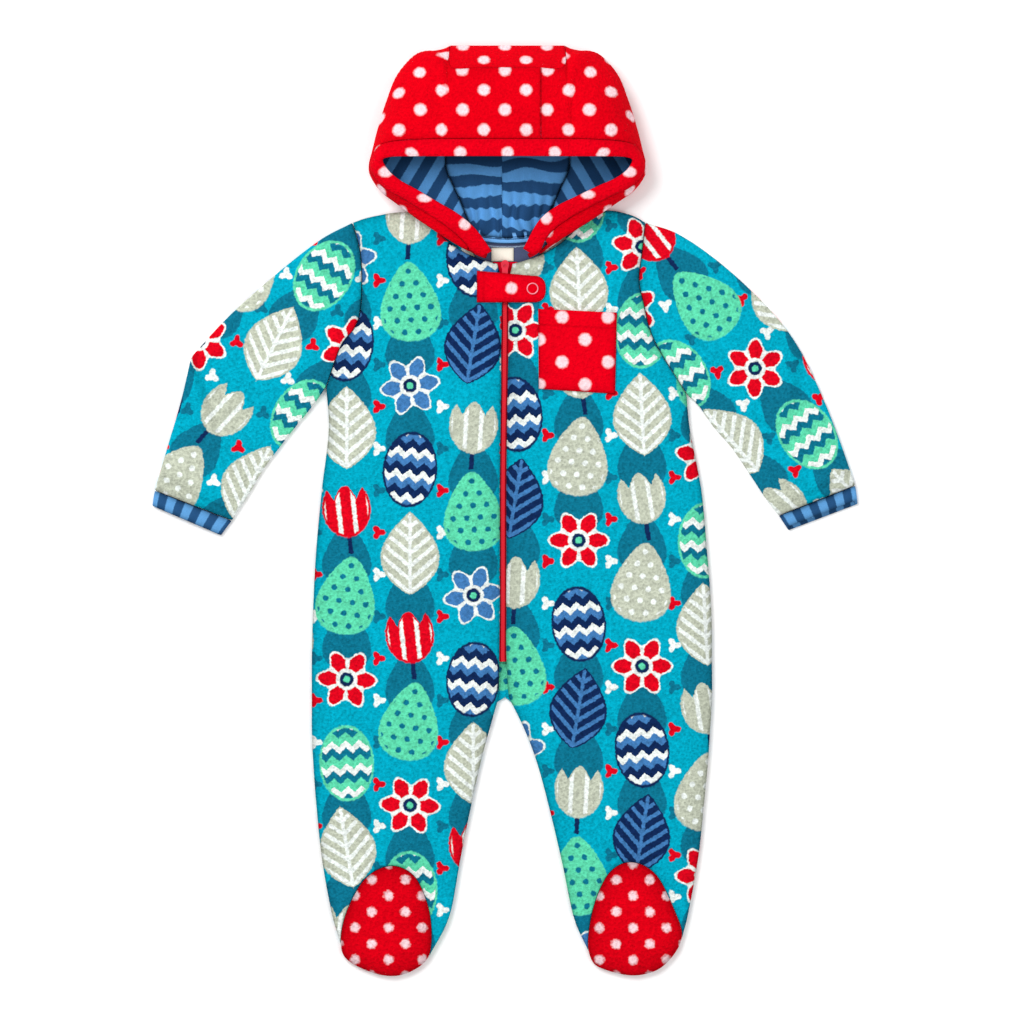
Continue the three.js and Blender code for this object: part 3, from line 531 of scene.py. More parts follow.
def front_under(x: Array, y: Array) -> Array:
    """Height of the fronts' underside: the back's top, the rise, and the folds where the rise is full.

    Args:
        x: Places across.
        y: Places up.

    Returns:
        The heights in millimetres.
    """
    full = swell(np.where(x < 0, RIGHT.inward(x, y), LEFT.inward(x, y)) / RISE_REACH)
    waves = sum(height * ripple(x, y, length, seed) for height, length, seed in FRONT_RIPPLES)
    return FRONT_FLOOR + np.maximum(RISE * full + (fold_height(x, y) + waves) * full**2, 0)


def front_top(x: Array, y: Array) -> Array:
    """Height of the fronts' face."""
    return front_under(x, y) + FLEECE


def zip_centre(y: Array) -> Array:
    """Where the zip runs: midway between the fronts' inner edges, straight from row to row."""
    middle = (RIGHT_BODY["in_x"] + LEFT_BODY["in_x"]) / 2
    return np.interp(-y, -RIGHT_BODY["in_y"], middle)


def with_height(plan: Array, height: Array | float) -> Array:
    """Points in space from points in plan and their heights."""
    return np.concatenate([plan, np.broadcast_to(height, plan.shape[:-1])[..., None]], axis=-1)


def border_distance(grid: Array, sides: str) -> Array:
    """Way over the cloth from each point of a grid to the nearest of some of its sides.

    Args:
        grid: Points as rows, columns and x, y, z.
        sides: Letters for the sides that count: t for the first row, b for the last, l and r for the
            first and last column.

    Returns:
        The distances as rows and columns, in millimetres.
    """
    least = np.full(grid.shape[:2], FAR)
    for axis, first, last in ((0, "t", "b"), (1, "l", "r")):
        steps = np.linalg.norm(np.diff(grid, axis=axis), axis=-1)
        pad = [(1, 0), (0, 0)] if axis == 0 else [(0, 0), (1, 0)]
        way = np.cumsum(np.pad(steps, pad), axis=axis)
        total = np.take(way, [-1], axis=axis)
        if first in sides:
            least = np.minimum(least, way)
        if last in sides:
            least = np.minimum(least, total - way)
    return least


# Painted shade in a seam's ditch, and the faint painted shade beside it
DITCH_SHADE = 0.75
BESIDE_SHADE = 0.3


def seam_shade(distance: Array, wide: float = 9.0, narrow: float = 2.0) -> Array:
    """Painted shade at a seam: how much it darkens the cloth, a narrow bell for its ditch and a faint wide
    one beside it.
    """
    return np.clip(DITCH_SHADE * bell(distance, narrow) + BESIDE_SHADE * bell(distance, wide), 0, 1)


@dataclass(frozen=True)
class Patch:
    """A stretch of cloth as a grid of points: its face, its back, its pattern places and its painted shade,
    at seams, grooves, creases, pleats and under the brim.
    """

    outer: Array
    inner: Array
    pattern: Array
    # Painted shade from 0 to 1: at seams and grooves, in creases and pleats, and the brim's shadow
    seam: Array

    def flipped(self) -> "Patch":
        """The same patch with its columns in the other order."""
        return Patch(self.outer[:, ::-1], self.inner[:, ::-1], self.pattern[:, ::-1], self.seam[:, ::-1])


# Points are the same where both their faces round to the same steps of a millimetre
STEPS_PER_MM = 200

# How far in a cell an edge is rounded at most, and the least painted shade on the strips along a wall's edge
ROUND_SHARE = 0.7
EDGE_SHADE = 0.6


class ClothMesh:
    """A closed cloth wall made of patches whose edges are joined where they meet."""

    def __init__(self, name: str, patches: Sequence[Patch], edge: float) -> None:
        """Joins the patches and closes the wall.

        Args:
            name: The piece's name.
            patches: Stretches of cloth with the same winding.
            edge: How far open edges are rounded in.
        """
        self.name = name
        self._join(patches)
        self._round_edges(edge)
        self._close()

    def _join(self, patches: Sequence[Patch]) -> None:
        """Numbers the patches' points once each and lists their cells.

        Args:
            patches: The stretches of cloth.
        """
        outer = np.concatenate([patch.outer.reshape(-1, 3) for patch in patches])
        inner = np.concatenate([patch.inner.reshape(-1, 3) for patch in patches])
        self.pattern = np.concatenate([patch.pattern.reshape(-1, 2) for patch in patches])
        seam = np.concatenate([patch.seam.reshape(-1) for patch in patches])
        cells = []
        start = 0
        for patch in patches:
            rows, columns = patch.outer.shape[:2]
            number = start + np.arange(rows * columns).reshape(rows, columns)
            cell = np.stack([number[:-1, :-1], number[:-1, 1:], number[1:, 1:], number[1:, :-1]], axis=-1)
            cells.append(cell.reshape(-1, 4))
            start += rows * columns
        raw = np.concatenate(cells)
        key = np.round(np.concatenate([outer, inner], axis=1) * STEPS_PER_MM).astype(np.int64)
        _, first, place = np.unique(key, axis=0, return_index=True, return_inverse=True)
        self.outer = outer[first]
        self.inner = inner[first]
        self.seam = seam[first]
        joined = place.reshape(-1)[raw]
        whole = (joined[:, 0] != joined[:, 2]) & (joined[:, 1] != joined[:, 3])
        repeats = (joined == np.roll(joined, -1, axis=1)).sum(axis=1)
        keep = whole & (repeats <= 1)
        self.raw = raw[keep]
        self.cells = joined[keep]

    def _open_edges(self) -> tuple[Array, Array]:
        """Directed edges that no neighbour shares.

        Returns:
            The edges as numbers of joined points, and as numbers of the patches' points.
        """
        edges = np.stack([self.cells, np.roll(self.cells, -1, axis=1)], axis=-1).reshape(-1, 2)
        raw = np.stack([self.raw, np.roll(self.raw, -1, axis=1)], axis=-1).reshape(-1, 2)
        real = edges[:, 0] != edges[:, 1]
        edges, raw = edges[real], raw[real]
        count = len(self.outer)
        alone = ~np.isin(edges[:, 0] * count + edges[:, 1], edges[:, 1] * count + edges[:, 0])
        return edges[alone], raw[alone]

    def _round_edges(self, edge: float) -> None:
        """Moves points on open edges in, towards the middle of the cells about them.

        Args:
            edge: How far they move at most.
        """
        self.open_edges, self.open_raw = self._open_edges()
        self.middle = (self.outer + self.inner) / 2
        rim = np.unique(self.open_edges)
        for points in (self.outer, self.inner):
            total = np.zeros_like(points)
            count = np.zeros(len(points))
            centre = points[self.cells].mean(axis=1)
            np.add.at(total, self.cells.ravel(), np.repeat(centre, 4, axis=0))
            np.add.at(count, self.cells.ravel(), 1)
            step = total[rim] / count[rim, None] - points[rim]
            long = np.linalg.norm(step, axis=1, keepdims=True)
            points[rim] += step / np.maximum(long, SMALLEST) * np.minimum(edge, ROUND_SHARE * long)

    def _close(self) -> None:
        """Lists all faces: the face, the back, and two strips along each open edge."""
        count = len(self.outer)
        start, end = self.open_edges.T
        raw_start, raw_end = self.open_raw.T
        rim = np.stack([end, start, start + 2 * count, end + 2 * count], axis=1)
        under = np.stack([end + 2 * count, start + 2 * count, start + count, end + count], axis=1)
        raw_strip = np.stack([raw_end, raw_start, raw_start, raw_end], axis=1)
        self.faces = np.concatenate([self.cells, self.cells[:, ::-1] + count, rim, under])
        self.face_raw = np.concatenate([self.raw, self.raw[:, ::-1], raw_strip, raw_strip])
        self.points = np.concatenate([self.outer, self.inner, self.middle])
        # Painted shade: the strips along each open edge are darkened at least by EDGE_SHADE
        self.shade = np.concatenate([self.seam, self.seam, np.maximum(self.seam, EDGE_SHADE)])
        corner = self.points[self.faces]
        first = np.cross(corner[:, 1] - corner[:, 0], corner[:, 2] - corner[:, 0])
        second = np.cross(corner[:, 2] - corner[:, 0], corner[:, 3] - corner[:, 0])
        if np.sum(corner[:, 0] * (first + second)) < 0:
            self.faces = self.faces[:, ::-1]
            self.face_raw = self.face_raw[:, ::-1]

    def build(self) -> bpy.types.Object:
        """Stores the wall as an object.

        Returns:
            The new object, with its pattern places as a UV map and its painted shade as an attribute.
        """
        used, places = np.unique(self.faces, return_inverse=True)
        faces = places.reshape(self.faces.shape)
        keep = faces != np.roll(faces, -1, axis=1)
        size = keep.sum(axis=1)
        mesh = bpy.data.meshes.new(self.name)
        mesh.vertices.add(len(used))
        mesh.vertices.foreach_set("co", (self.points[used] * METRE).astype(np.float32).ravel())
        mesh.loops.add(int(size.sum()))
        mesh.loops.foreach_set("vertex_index", faces[keep].astype(np.int32))
        mesh.polygons.add(len(faces))
        mesh.polygons.foreach_set("loop_start", np.concatenate([[0], np.cumsum(size)[:-1]]).astype(np.int32))
        mesh.polygons.foreach_set("use_smooth", np.ones(len(faces), dtype=bool))
        mesh.update(calc_edges=True)
        pattern = mesh.uv_layers.new(name="pattern")
        places_on_cloth = self.pattern[self.face_raw[keep]] * METRE
        pattern.data.foreach_set("uv", places_on_cloth.astype(np.float32).ravel())
        # The attribute named seam holds the painted shade
        shade = mesh.attributes.new("seam", "FLOAT", "POINT")
        shade.data.foreach_set("value", self.shade[used].astype(np.float32))
        mesh.validate()
        piece = bpy.data.objects.new(self.name, mesh)
        bpy.context.collection.objects.link(piece)
        return piece


def srgb(red: float, green: float, blue: float) -> Colour:
    """A colour for shaders, by the power of 2.4 of the shifted share.

    Args:
        red: Screen value from 0 to 255.
        green: Screen value from 0 to 255.
        blue: Screen value from 0 to 255.

    Returns:
        The linear colour, with full cover.
    """
    shares = [value / 255 for value in (red, green, blue)]
    linear = [share / 12.92 if share <= 0.04045 else ((share + 0.055) / 1.055) ** 2.4 for share in shares]
    return (*linear, 1.0)


class Paint(Enum):
    """The suit's colours."""

    TEAL = srgb(2, 157, 183)
    DARK_TEAL = srgb(12, 108, 134)
    NAVY = srgb(16, 38, 80)
    BLUE = srgb(62, 116, 172)
    MINT = srgb(88, 204, 162)
    STONE = srgb(182, 188, 170)
    WHITE = srgb(224, 231, 227)
    BERRY = srgb(210, 6, 28)
    HOOD_RED = srgb(211, 0, 18)
    POCKET_RED = srgb(216, 0, 22)
    FOOT_RED = srgb(211, 1, 20)
    DOT = srgb(243, 205, 211)
    RIB_DARK = srgb(38, 80, 124)
    RIB_LIGHT = srgb(94, 156, 212)
    LINING_DARK = srgb(36, 74, 118)
    LINING_LIGHT = srgb(90, 154, 216)
    CREAM = srgb(238, 232, 218)
    ZIP = srgb(206, 2, 32)
    NECK = srgb(112, 172, 232)
    FACING = srgb(74, 82, 112)
    RING = srgb(240, 140, 156)
    SLIDER = srgb(214, 40, 62)
    TAPE_LINE = srgb(26, 52, 92)
    THREAD = srgb(150, 170, 190)
    FLOOR = srgb(250, 250, 250)


class Field:
    """A number that shader nodes work out at each place of a surface."""

    def __init__(self, tree: bpy.types.NodeTree, socket: bpy.types.NodeSocket) -> None:
        """Keeps the tree and the socket that the number comes from."""
        self.tree = tree
        self.socket = socket

    def math(self, operation: str, *others: "Field | float", clamp: bool = False) -> "Field":
        """Feeds the number and others into a Math node.

        Args:
            operation: The node's operation.
            others: Its further inputs, as fields or plain numbers.
            clamp: Whether the result is kept between 0 and 1.

        Returns:
            The result as a field.
        """
        node = self.tree.nodes.new("ShaderNodeMath")
        node.operation = operation
        node.use_clamp = clamp
        self.tree.links.new(self.socket, node.inputs[0])
        for place, value in enumerate(others, start=1):
            if isinstance(value, Field):
                self.tree.links.new(value.socket, node.inputs[place])
            else:
                node.inputs[place].default_value = value
        return Field(self.tree, node.outputs[0])

    def __add__(self, other: "Field | float") -> "Field":
        """The sum."""
        return self.math("ADD", other)

    def __sub__(self, other: "Field | float") -> "Field":
        """The difference."""
        return self.math("SUBTRACT", other)

    def __mul__(self, other: "Field | float") -> "Field":
        """The product."""
        return self.math("MULTIPLY", other)

    def __truediv__(self, other: "Field | float") -> "Field":
        """The quotient."""
        return self.math("DIVIDE", other)

    def __neg__(self) -> "Field":
        """The number with its sign turned."""
        return self.math("MULTIPLY", -1.0)

    def __abs__(self) -> "Field":
        """The number without its sign."""
        return self.math("ABSOLUTE")

    def floor(self) -> "Field":
        """The whole number at or below."""
        return self.math("FLOOR")

    def turns(self, count: float) -> "Field":
        """What is left of the number after whole counts, never below nothing."""
        return self.math("FLOORED_MODULO", float(count))

    def wrapped(self, period: float) -> "Field":
        """The number brought into half a period either side of nothing."""
        return (self + period / 2).turns(period) - period / 2

    def inside(self, soft: float) -> "Field":
        """A mask of 1 where the number is above nothing and 0 below it, with a soft step of a width."""
        return self.math("MULTIPLY_ADD", 1 / soft, 0.5, clamp=True)

    def least(self, other: "Field | float") -> "Field":
        """The smaller of two."""
        return self.math("MINIMUM", other)

    def most(self, other: "Field | float") -> "Field":
        """The larger of two."""
        return self.math("MAXIMUM", other)

    def equals(self, value: float) -> "Field":
        """A mask of 1 where the number is within a half of a value."""
        return self.math("COMPARE", value, 0.5)


def hypot(x: Field, y: Field) -> Field:
    """Distance from nothing: the root of the sum of two squares."""
    return (x * x + y * y).math("SQRT")


Hue = bpy.types.NodeSocket | Colour


class Easel:
    """A material's node tree with the few nodes that all finishes share."""

    def __init__(self, name: str) -> None:
        """Starts a material with its shader and its coordinates."""
        self.material = bpy.data.materials.new(name)
        self.material.use_nodes = True
        self.tree = self.material.node_tree
        self.tree.nodes.clear()
        self.shader = self.tree.nodes.new("ShaderNodeBsdfPrincipled")
        output = self.tree.nodes.new("ShaderNodeOutputMaterial")
        self.tree.links.new(self.shader.outputs["BSDF"], output.inputs["Surface"])
        self.place = self.tree.nodes.new("ShaderNodeTexCoord").outputs["Object"]

    def number(self, socket: bpy.types.NodeSocket) -> Field:
        """A socket as a field."""
        return Field(self.tree, socket)

    def pattern_place(self) -> tuple[Field, Field]:
        """Places on the flat cloth, in millimetres, from the piece's own UV map."""
        source = self.tree.nodes.new("ShaderNodeUVMap")
        source.uv_map = "pattern"
        split = self.tree.nodes.new("ShaderNodeSeparateXYZ")
        self.tree.links.new(source.outputs["UV"], split.inputs[0])
        return tuple(self.number(split.outputs[axis]) * (1 / METRE) for axis in ("X", "Y"))

    def seam(self) -> Field:
        """The painted shade at the place, from the piece's attribute named seam."""
        node = self.tree.nodes.new("ShaderNodeAttribute")
        node.attribute_name = "seam"
        return self.number(node.outputs["Fac"])

    def noise(self, size: float, detail: float = 2.0, rough: float = 0.5) -> Field:
        """Soft random clouds from 0 to 1.

        Args:
            size: The clouds' rough size in millimetres.
            detail: How many finer layers are added.
            rough: How strong the finer layers are.

        Returns:
            The clouds as a field.
        """
        node = self.tree.nodes.new("ShaderNodeTexNoise")
        node.inputs["Scale"].default_value = 1 / (size * METRE)
        node.inputs["Detail"].default_value = detail
        node.inputs["Roughness"].default_value = rough
        self.tree.links.new(self.place, node.inputs["Vector"])
        return self.number(node.outputs[0])

    def blend(self, under: Hue, over: Hue, mask: Field) -> bpy.types.NodeSocket:
        """Lays one colour over another by a mask.

        Args:
            under: The colour below, as a socket or a plain colour.
            over: The colour above.
            mask: How much of the colour above shows.

        Returns:
            The socket of the blended colour.
        """
        node = self.tree.nodes.new("ShaderNodeMix")
        node.data_type = "RGBA"
        self.tree.links.new(mask.socket, node.inputs[0])
        for socket, value in ((node.inputs[6], under), (node.inputs[7], over)):
            if isinstance(value, bpy.types.NodeSocket):
                self.tree.links.new(value, socket)
            else:
                socket.default_value = value
        return node.outputs[2]

    def shaded(self, colour: Hue, light: Field) -> bpy.types.NodeSocket:
        """A colour times a brightness."""
        node = self.tree.nodes.new("ShaderNodeVectorMath")
        node.operation = "SCALE"
        if isinstance(colour, bpy.types.NodeSocket):
            self.tree.links.new(colour, node.inputs[0])
        else:
            node.inputs[0].default_value = colour[:3]
        self.tree.links.new(light.socket, node.inputs["Scale"])
        return node.outputs[0]

    def bump(self, height: Field, depth: float) -> None:
        """Raises the surface's look by a height from 0 to 1 times a depth in millimetres."""
        node = self.tree.nodes.new("ShaderNodeBump")
        node.inputs["Distance"].default_value = depth * METRE
        self.tree.links.new(height.socket, node.inputs["Height"])
        self.tree.links.new(node.outputs["Normal"], self.shader.inputs["Normal"])

    def set(self, **values: float) -> None:
        """Sets the shader's own sockets, named with underscores for spaces."""
        for name, value in values.items():
            self.shader.inputs[name.replace("_", " ")].default_value = value

    def colour(self, hue: bpy.types.NodeSocket) -> None:
        """Gives the shader its colour."""
        self.tree.links.new(hue, self.shader.inputs["Base Color"])


@dataclass(frozen=True)
class Nap:
    """Surface of a cloth: its grain, its depth, its mottling, how much painted shade darkens it, its sheen
    and how fuzzy its print is.
    """

    grain: float = 2.1
    depth: float = 1.5
    mottle: float = 1.05
    cloud: float = 0.16
    # How much the painted shade darkens the colour at most
    seam_shade: float = 0.42
    sheen: float = 0.01
    fuzz: float = 0.5


FLEECE_NAP = Nap()
HOOD_NAP = Nap(mottle=0.6, cloud=0.2, seam_shade=0.16, fuzz=0.4)
PATCH_NAP = Nap(mottle=0.5, seam_shade=0.4, fuzz=0.4)
FOOT_NAP = Nap(mottle=0.75, cloud=0.25, seam_shade=0.45, fuzz=0.8)
JERSEY_NAP = Nap(grain=0.9, depth=0.25, mottle=0.3, cloud=0.2, seam_shade=0.85, sheen=0.02, fuzz=0.3)
RIB_NAP = Nap(grain=1.1, depth=0.35, mottle=0.3, cloud=0.1, seam_shade=0.5, sheen=0.02, fuzz=0.3)
TAPE_NAP = Nap(grain=0.7, depth=0.12, mottle=0.16, cloud=0.04, seam_shade=0.5, sheen=0.01, fuzz=0.1)

Painter = Callable[[Easel, Field, Field], Hue]


@dataclass(frozen=True)
class ClothFinish:
    """A cloth's finish: a nap, and a painter for its colours on the flat pattern."""

    name: str
    nap: Nap
    painter: Painter

    def make(self) -> bpy.types.Material:
        """Builds the nodes: fuzzy pattern places, colours, mottling, painted shade, and the nap's bump.

        Returns:
            The material.
        """
        easel = Easel(self.name)
        nap = self.nap
        u, v = easel.pattern_place()
        u = u + (easel.noise(nap.grain * 1.1, detail=1.0) - 0.5) * (4 * nap.fuzz)
        v = v + (easel.noise(nap.grain * 1.3, detail=1.0, rough=0.7) - 0.5) * (4 * nap.fuzz)
        hue = self.painter(easel, u, v)
        grain = easel.noise(nap.grain, detail=1.5, rough=0.5)
        light = grain * nap.mottle + easel.noise(38.0) * nap.cloud + (1 - 0.5 * (nap.mottle + nap.cloud))
        # Painted shade: the colour is darkened by the piece's painted-shade attribute
        light = light * (-(easel.seam() * nap.seam_shade) + 1.0)
        easel.colour(easel.shaded(hue, light))
        easel.bump(grain, nap.depth)
        easel.set(Roughness=0.95, Specular_IOR_Level=0.01, Sheen_Weight=nap.sheen, Sheen_Roughness=0.5)
        return easel.material


def plain(paint: Paint) -> Painter:
    """A painter of one colour."""
    return lambda easel, u, v: paint.value


@dataclass(frozen=True)
class Dots:
    """Common dots in rows, each row half a step aside from the next."""

    step: float
    row: float
    radius: float
    ground: Paint
    first_u: float = 0.0
    first_v: float = 0.0
    soft: float = 2.0

    def paint(self, easel: Easel, u: Field, v: Field) -> Hue:
        """Lays the dots over red: a place is in a dot where either of two square lattices has one near.

        Args:
            easel: The material's easel.
            u: Place across.
            v: Place up.

        Returns:
            The colour.
        """
        even = self._reach(u, v, 0.0)
        odd = self._reach(u, v, 0.5)
        mask = (-even.least(odd) + self.radius).inside(self.soft)
        return easel.blend(self.ground.value, Paint.DOT.value, mask)

    def _reach(self, u: Field, v: Field, shift: float) -> Field:
        """Distance from the nearest dot of one lattice."""
        across = (u - (self.first_u + shift * self.step)).wrapped(self.step)
        up = (v - (self.first_v + 2 * shift * self.row)).wrapped(2 * self.row)
        return hypot(across, up)


@dataclass(frozen=True)
class Stripes:
    """Common stripes in two blues."""

    period: float
    dark: Paint
    light: Paint
    dark_share: float = 0.5
    first: float = 0.0
    slant: float = 0.0
    along_v: bool = False
    seam_at: float | None = None
    seam_shift: float = 0.0
    soft: float = 0.9

    def paint(self, easel: Easel, u: Field, v: Field) -> Hue:
        """Lays light stripes over dark ones along a slanted line, shifted past a seam where there is one.

        Args:
            easel: The material's easel.
            u: Place across.
            v: Place up.

        Returns:
            The colour.
        """
        line, aside = (v, u) if self.along_v else (u, v)
        if self.slant:
            line = line + aside * self.slant
        if self.seam_at is not None:
            line = line + (aside - self.seam_at).inside(0.4) * self.seam_shift
        wave = abs((line - self.first).wrapped(self.period))
        mask = (wave - 0.5 * self.period * self.dark_share).inside(self.soft)
        return easel.blend(self.dark.value, self.light.value, mask)


@dataclass(frozen=True)
class Bands:
    """Cloth of one colour with thin lines along it, at distances from its upper edge."""

    ground: Paint
    line: Paint
    places: tuple[float, ...]
    width: float = 0.7

    def paint(self, easel: Easel, u: Field, v: Field) -> Hue:
        """Lays the lines over the ground.

        Args:
            easel: The material's easel.
            u: Place across; not used.
            v: Distance from the upper edge.

        Returns:
            The colour.
        """
        hue: Hue = self.ground.value
        for place in self.places:
            hue = easel.blend(hue, self.line.value, (-abs(v - place) + self.width / 2).inside(0.4))
        return hue


@dataclass(frozen=True)
class GardenPrint:
    """A generic garden print: leaves, banded eggs, flowers, pears and tulips in a half-drop lattice."""

    scale: float = 1.22
    width: float = 41.5
    height: float = 55.0
    soft: float = 0.7
    outline: float = 1.5

    def paint(self, easel: Easel, u: Field, v: Field) -> Hue:
        """Lays fillers and then five kinds of motif over teal, one motif in each cell.

        Args:
            easel: The material's easel.
            u: Place across.
            v: Place up.

        Returns:
            The colour.
        """
        u = u / self.scale
        v = v / self.scale
        column = (u / self.width).floor()
        dropped = v + column.turns(2) * (self.height / 2)
        row = (dropped / self.height).floor()
        x = u - (column + 0.5) * self.width
        y = dropped - (row + 0.5) * self.height
        way = (column + row * 2.0).turns(3).equals(0.0)
        tilt = ((column * 3.0 + row * 5.0).turns(7) - 3.0) * 0.055
        turned = (x + tilt * y, y - tilt * x)
        motifs = (self._leaf, self._egg, self._flower, self._pear, self._tulip)
        kind = (column * 2.0 + row).turns(len(motifs))
        drop_row = (dropped / self.height + 0.5).floor()
        some = (column + drop_row).turns(3).equals(1.0)
        ground = easel.blend(
            Paint.TEAL.value, Paint.DARK_TEAL.value, self._drop(x, y).inside(self.soft) * (-some + 1.0)
        )
        hue = self._fillers(easel, ground, u, v)
        for number, motif in enumerate(motifs):
            chosen = kind.equals(float(number))
            colour, shape = motif(easel, *turned, way)
            hue = easel.blend(hue, colour, shape.inside(self.soft) * chosen)
        return hue

    def _drop(self, x: Field, y: Field) -> Field:
        """Large drops behind the motifs, half a cell up: an oval whose width shrinks upwards."""
        up = (y + self.height / 2).wrapped(self.height)
        return (-hypot(x / (-(up * 0.38) + 14.5), up / 21.0) + 1.0) * 15.0

    def _fillers(self, easel: Easel, under: Hue, u: Field, v: Field) -> Hue:
        """Small three-lobed sprigs and berries between the motifs."""
        half = self.height / 2
        x = u.wrapped(self.width)
        y = (v - half / 2).wrapped(half)
        number = (u / self.width + 0.5).floor() * 2.0 + (v / half).floor()
        lobes = (y.math("ARCTAN2", x) * 3.0).math("COSINE") * 1.3 + 3.6
        shape = lobes - hypot(x, y)
        choice = number.turns(3)
        for value, paint in ((0.0, Paint.WHITE), (1.0, Paint.BERRY), (2.0, Paint.DARK_TEAL)):
            under = easel.blend(under, paint.value, shape.inside(self.soft) * choice.equals(value))
        return under

    def _leaf(self, easel: Easel, x: Field, y: Field, way: Field) -> tuple[Hue, Field]:
        """A pointed leaf with slanted veins and a midrib: its half width is a sine that leans down."""
        share = ((y + 27.0) / 54.0).least(1.0).most(0.0)
        bulge = (share * math.pi).math("SINE").most(0.0).math("POWER", 0.8)
        side = abs(x)
        shape = bulge * (-(share * 8.0) + 23.0) - side
        vein = abs((y - side * 0.85).wrapped(8.6))
        first = easel.blend(Paint.STONE.value, Paint.NAVY.value, way)
        second = easel.blend(Paint.WHITE.value, Paint.BLUE.value, way)
        hue = easel.blend(first, second, (-vein + 1.7).inside(self.soft))
        hue = easel.blend(hue, second, (-side + 1.1).inside(self.soft))
        return easel.blend(hue, first, (-shape + self.outline).inside(self.soft)), shape

    def _egg(self, easel: Easel, x: Field, y: Field, way: Field) -> tuple[Hue, Field]:
        """An egg with zigzag bands of three colours."""
        shape = (-hypot(x / 18.0, y / 25.0) + 1.0) * 20.0
        band = (y + abs(x.wrapped(9.0)) * 0.9).turns(15)
        first = easel.blend(Paint.NAVY.value, Paint.MINT.value, way)
        second = easel.blend(Paint.BLUE.value, Paint.DARK_TEAL.value, way)
        hue = easel.blend(first, second, (band - 5.5).inside(self.soft))
        hue = easel.blend(hue, Paint.WHITE.value, (band - 10.5).inside(self.soft))
        return easel.blend(hue, first, (-shape + self.outline).inside(self.soft)), shape

    def _flower(self, easel: Easel, x: Field, y: Field, way: Field) -> tuple[Hue, Field]:
        """A flower with six petals round a middle of rings."""
        petal = (y.math("ARCTAN2", x) * 6.0).math("COSINE")
        reach = hypot(x, y)
        shape = petal * 3.4 - reach + 17.0
        hue = easel.blend(Paint.BERRY.value, Paint.BLUE.value, way)
        hue = easel.blend(hue, Paint.WHITE.value, (-petal - 0.72).inside(0.25))
        hue = easel.blend(hue, Paint.WHITE.value, (-shape + self.outline).inside(self.soft))
        for radius, paint in ((7.0, Paint.WHITE), (4.6, Paint.NAVY), (2.2, Paint.MINT)):
            hue = easel.blend(hue, paint.value, (-reach + radius).inside(self.soft))
        return hue, shape

    def _pear(self, easel: Easel, x: Field, y: Field, way: Field) -> tuple[Hue, Field]:
        """A pear with rows of spots: an oval whose width grows towards its foot."""
        shape = (-hypot(x / (-(y * 0.3) + 18.5), y / 26.0) + 1.0) * 19.0
        spot_x = (x + (y / 8.0).floor().turns(2) * 4.5).wrapped(9.0)
        spot_y = y.turns(8) - 4.0
        first = easel.blend(Paint.MINT.value, Paint.STONE.value, way)
        second = easel.blend(Paint.DARK_TEAL.value, Paint.WHITE.value, way)
        hue = easel.blend(first, second, (-hypot(spot_x, spot_y) + 1.9).inside(self.soft))
        return easel.blend(hue, first, (-shape + self.outline).inside(self.soft)), shape

    def _tulip(self, easel: Easel, x: Field, y: Field, way: Field) -> tuple[Hue, Field]:
        """A tulip: a cup with three points on a stem, in two colours."""
        cup = (-hypot(x / 16.0, (y - 2.0) / 19.0) + 1.0) * 16.0
        points = abs((x * (math.pi / 15.0)).math("COSINE")) * 9.0 + 8.0 - y
        flower = cup.least(points)
        stem = (-abs(x) + 1.5).least(-abs(y + 20.0) + 10.0)
        first = easel.blend(Paint.STONE.value, Paint.BERRY.value, way)
        hue = easel.blend(first, Paint.WHITE.value, (abs(x.wrapped(10.0)) - 3.6).inside(self.soft))
        hue = easel.blend(hue, first, (-flower + self.outline).inside(self.soft))
        return easel.blend(hue, Paint.NAVY.value, (-flower - 0.4).inside(self.soft)), flower.most(stem)


@dataclass(frozen=True)
class GlossFinish:
    """Plastic or metal of one colour with a faint unevenness."""

    name: str
    paint: Paint
    roughness: float
    metallic: float = 0.0

    def make(self) -> bpy.types.Material:
        """Builds the nodes.

        Returns:
            The material.
        """
        easel = Easel(self.name)
        grain = easel.noise(0.6, detail=3.0)
        easel.colour(easel.shaded(self.paint.value, grain * 0.16 + 0.92))
        easel.bump(grain, 0.03)
        easel.set(Roughness=self.roughness, Metallic=self.metallic, Specular_IOR_Level=0.35)
        return easel.material


class Slot(Enum):
    """The material slots."""

    PRINT = "print_fleece"
    RED = "red_fleece"
    RIB = "striped_rib"
    JERSEY = "striped_jersey"
    NECK = "neck_cloth"
    LABEL = "label_cloth"
    ZIP_CLOTH = "zip_cloth"
    ZIP_PLASTIC = "zip_plastic"
    SNAP = "snap_metal"


@dataclass(frozen=True)
class Cut:
    """Flat size of what shows of a piece, all round on a tube, in metres, and its area."""

    width: float
    length: float
    area: float


def sew(
    node: str,
    patches: Sequence[Patch],
    material: bpy.types.Material,
    edge: float = 0.5,
    kind: str = "cloth",
) -> None:
    """Builds a piece, dresses it, lets it ride, and hides the solid that it stands for.

    Args:
        node: The solid's name.
        patches: The piece's stretches.
        material: The piece's finish.
        edge: How far open edges are rounded in.
        kind: What the piece is, for the end of its name.
    """
    piece = ClothMesh(f"{node}_{kind}", patches, edge).build()
    piece.data.materials.append(material)
    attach(piece, BODY)
    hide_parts(node)
    surface = sum(face.area for face in piece.data.polygons)
    log.info("%s: %d faces, %.5f m2 of surface", piece.name, len(piece.data.polygons), surface)


